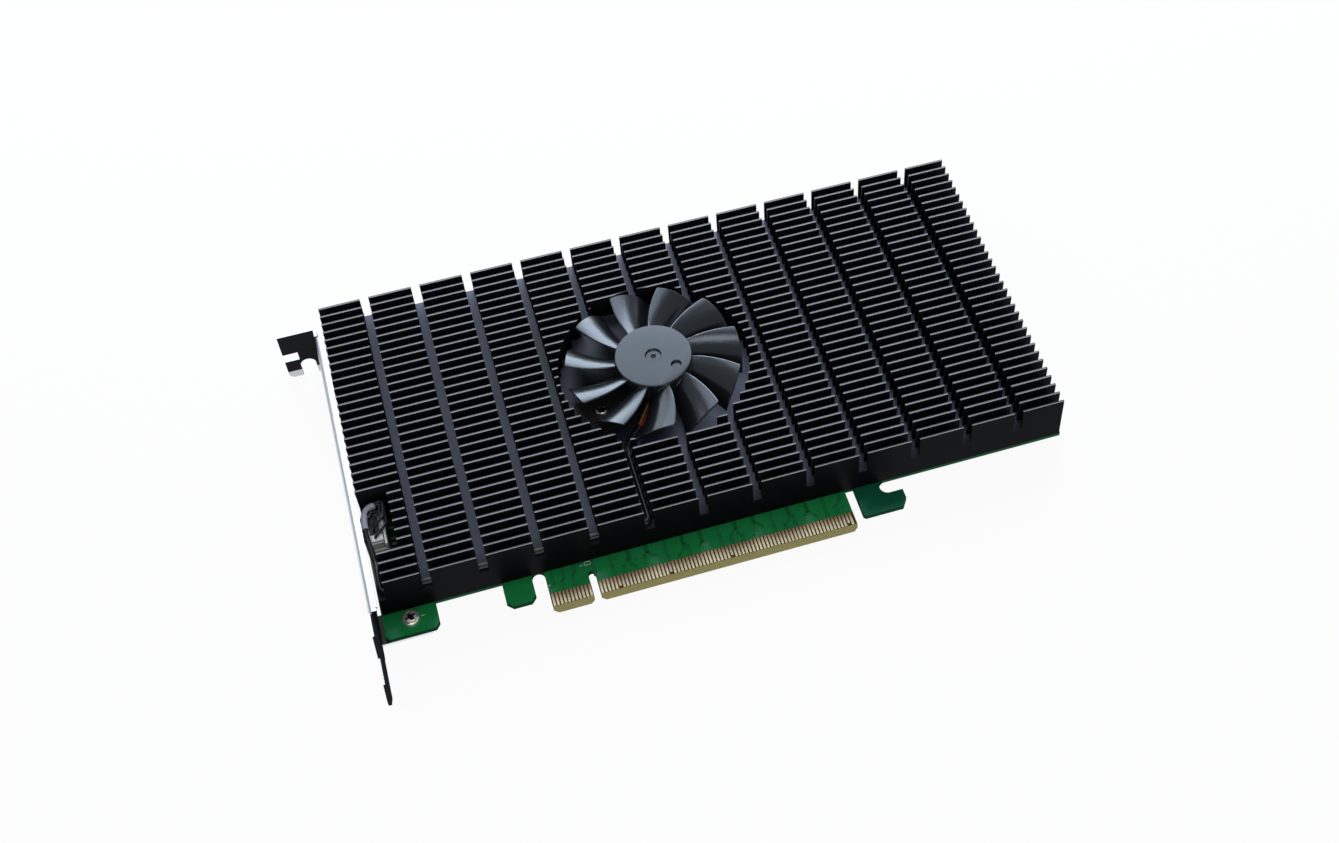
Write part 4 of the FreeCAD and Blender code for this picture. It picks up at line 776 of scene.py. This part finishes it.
def build_card():
    """Every CAD node's material, the copies that round its edges, and the fine pieces."""
    bright = metal("plated_steel", (0.86, 0.82, 0.76), (0.97, 0.93, 0.87), 0.10, 0.18, shine=0.70)
    steel = metal("motor_steel", (0.30, 0.30, 0.31), (0.42, 0.42, 0.43), 0.30, 0.42)
    dress(black_anodised(), "heatsink")
    dress(solder_mask(), "circuit_board", "fan_driver_board")
    dress(contact_gold(), "edge_contacts_component_side", "edge_contacts_solder_side", "header_pins")
    sheet = plated_sheet()
    smooth_copy("bracket_sheet", "bracket", "card", sheet, 30.0, 0.12 * MM)
    # The lip's rolled hem, close along the ends of the fins.
    blocks("lip_hem", [((-56.1, 6.4, 13.95), (-55.42, 99.2, 14.6))], sheet, 0.1)
    build_hub_dimple_shade()
    dress(bright, "drive_standoffs", "drive_screws", "fan_shaft")
    build_screws(bright)
    dress(steel, "rotor_yoke", "stator_core")
    smooth_copy("impeller_moulding", "fan_impeller", "fan_rotor", fan_plastic(),
                50.0, 0.2 * MM, flatten=False, clamp=False)
    black = moulded("base_black", (0.032, 0.032, 0.033), (0.046, 0.046, 0.047), 0.28, 0.40)
    dress(black, "switch_chip", "power_inductors", "regulator_chips")
    smooth_copy("fan_base_moulding", "fan_base", "card", black, 30.0, 0.12 * MM)
    dress(moulded("socket_black", (0.012, 0.012, 0.013), (0.020, 0.020, 0.022)),
          "drive_socket_1", "drive_socket_2", "drive_socket_3", "drive_socket_4")
    dress(moulded("thermal_pad", (0.20, 0.25, 0.31), (0.26, 0.32, 0.38), 0.7, 0.85, 1200.0, 0.04 * MM),
          "drive_pad_1", "drive_pad_2", "drive_pad_3", "drive_pad_4", "switch_pad")
    dress(moulded("ferrite", (0.02, 0.02, 0.022), (0.035, 0.035, 0.038), 0.6, 0.75), "magnet_ring")
    dress(metal("sintered_bronze", (0.36, 0.22, 0.09), (0.48, 0.30, 0.13), 0.35, 0.5), "fan_bearing")
    dress(metal("coil_copper", (0.55, 0.20, 0.07), (0.72, 0.30, 0.12), 0.25, 0.35, (1.0, 1.0, 0.1)),
          "stator_coils")
    smooth_copy("sleeve", "fan_cable_sleeve", "card", sleeve_black(), 60.0,
                flatten=False)
    for colour, dark, light, plug_end in WIRES:
        smooth_copy(f"{colour}_wire", f"fan_wire_{colour}", "card",
                    insulation(f"wire_{colour}", dark, light, plug_end), 60.0, flatten=False)
    smooth_copy("header_moulding", "fan_header", "card",
                moulded("header_cream", (0.62, 0.58, 0.46), (0.70, 0.66, 0.54), 0.4, 0.55),
                30.0, 0.1 * MM)
    smooth_copy("plug_moulding", "fan_plug", "card",
                moulded("plug_white", (0.66, 0.67, 0.68), (0.74, 0.75, 0.76), 0.35, 0.5),
                30.0, 0.12 * MM)
    build_header_details()
    build_board_details()
    dress(moulded("chip_ceramic", (0.085, 0.080, 0.072), (0.15, 0.14, 0.125), 0.4, 0.6),
          "chip_capacitors")


# ---- floor, light and camera -------------------------------------------------------------------

FLOOR_REACH = 3.0                # from the middle of the floor to each side
FLOOR_GAP = 0.1 * MM             # below the lowest point of the card
FLOOR_WHITE = 0.94               # share of plain white in the floor; the rest takes the shadow
ROOM_STRENGTH = 0.27
ROOM_COLOUR = (0.93, 0.96, 1.0, 1.0)

# Name, azimuth and elevation in degrees, distance, width, height, watts and colour.
# Azimuth 0 is in front of the connector.
SOFTBOXES = (("key_softbox", 163.0, 26.0, 0.85, 0.85, 0.44, 6.6, (0.84, 0.92, 1.0)),
             ("upper_softbox", 172.0, 53.0, 0.85, 0.78, 0.36, 1.8, (0.86, 0.93, 1.0)),
             ("left_softbox", -150.0, 24.0, 0.80, 0.42, 0.34, 0.75, (0.90, 0.95, 1.0)),
             ("top_softbox", 0.0, 89.0, 0.85, 0.26, 0.26, 0.7, (1.0, 0.98, 0.96)),
             ("front_softbox", -8.0, 12.0, 0.95, 0.70, 0.20, 1.0, (1.0, 0.99, 0.97)))


def studio_floor():
    """A pale floor just under the card, which keeps its shadow."""
    plan = bmesh.new()
    bmesh.ops.create_grid(plan, x_segments=1, y_segments=1, size=FLOOR_REACH)
    floor = new_object("floor", plan)
    floor.location = (0.0, 0.0, cad_box[0][2] - FLOOR_GAP)
    finish = Finish("floor_white")
    finish.set(Base_Color=(0.86, 0.86, 0.86, 1.0), Roughness=0.9, Specular_IOR_Level=0.1)
    glow = finish.add("ShaderNodeEmission", {"Strength": 1.0})
    ray = finish.add("ShaderNodeLightPath").outputs
    seen = finish.sum(finish.sum(ray["Is Camera Ray"], ray["Is Glossy Ray"]), ray["Is Transmission Ray"])
    blend = finish.mix_shaders(finish.multiply(seen, FLOOR_WHITE), finish.surface.outputs[0],
                               glow.outputs[0])
    finish.feed(blend, finish.output.inputs["Surface"])
    floor.data.materials.append(finish.material)


def studio_world():
    """A dim soft room, which the camera and what is mirrored near the horizon see as pale."""
    world = bpy.data.worlds.new("studio")
    bpy.context.scene.world = world
    shader = Shader(world)
    room = shader.add("ShaderNodeBackground", {"Color": ROOM_COLOUR, "Strength": ROOM_STRENGTH})
    pale = shader.add("ShaderNodeBackground", {"Strength": 1.0})
    way = shader.add("ShaderNodeTexCoord")
    split = shader.add("ShaderNodeSeparateXYZ")
    shader.feed(way.outputs["Generated"], split.inputs["Vector"])
    near_horizon = shader.ramp(split.outputs["Z"], 0.24, 0.08)
    ray = shader.add("ShaderNodeLightPath").outputs
    mirrored = shader.sum(ray["Is Glossy Ray"], ray["Is Transmission Ray"])
    share = shader.sum(shader.multiply(mirrored, near_horizon), ray["Is Camera Ray"])
    output = shader.add("ShaderNodeOutputWorld")
    shader.feed(shader.mix_shaders(share, room.outputs[0], pale.outputs[0]), output.inputs["Surface"])


def softbox(name, azimuth, elevation, distance, width, height, watts, colour):
    """An area lamp that faces the middle of the card from one side."""
    middle = (Vector(cad_box[0]) + Vector(cad_box[1])) / 2
    round_card = math.radians(azimuth)
    rise = math.radians(elevation)
    way = Vector((math.sin(round_card) * math.cos(rise), -math.cos(round_card) * math.cos(rise),
                  math.sin(rise)))
    lamp = bpy.data.lights.new(name, "AREA")
    lamp.shape = "RECTANGLE"
    lamp.size = width
    lamp.size_y = height
    lamp.energy = watts
    lamp.color = colour
    holder = bpy.data.objects.new(name, lamp)
    holder.location = middle + way * distance
    holder.rotation_euler = way.to_track_quat("Z", "Y").to_euler()
    bpy.context.scene.collection.objects.link(holder)


def stand_camera():
    """Looks down on the card from in front of the connector and a little to the bracket's side."""
    target = Vector((73.5, 81.7, 0.0)) * MM
    azimuth = math.radians(-15.92)
    elevation = math.radians(50.68)
    roll = math.radians(-1.60)
    distance = 555.5 * MM
    back = Vector((math.sin(azimuth) * math.cos(elevation),
                   -math.cos(azimuth) * math.cos(elevation), math.sin(elevation)))
    level = Vector((math.cos(azimuth), math.sin(azimuth), 0.0))
    upright = back.cross(level)
    right = level * math.cos(roll) + upright * math.sin(roll)
    upward = back.cross(right)
    lens = bpy.data.cameras.new("camera")
    lens.sensor_width = 36.0
    lens.lens = 50.13
    lens.shift_x = -0.0777
    lens.shift_y = -0.0866
    lens.clip_start = 0.01
    camera = bpy.data.objects.new("camera", lens)
    stance = Matrix((right, upward, back)).transposed().to_4x4()
    camera.matrix_world = Matrix.Translation(target + back * distance) @ stance
    bpy.context.scene.collection.objects.link(camera)
    bpy.context.scene.camera = camera


# ---- build -------------------------------------------------------------------------------------

build_card()
studio_floor()
studio_world()
for settings in SOFTBOXES:
    softbox(*settings)
stand_camera()
bpy.context.scene.view_settings.view_transform = "Standard"
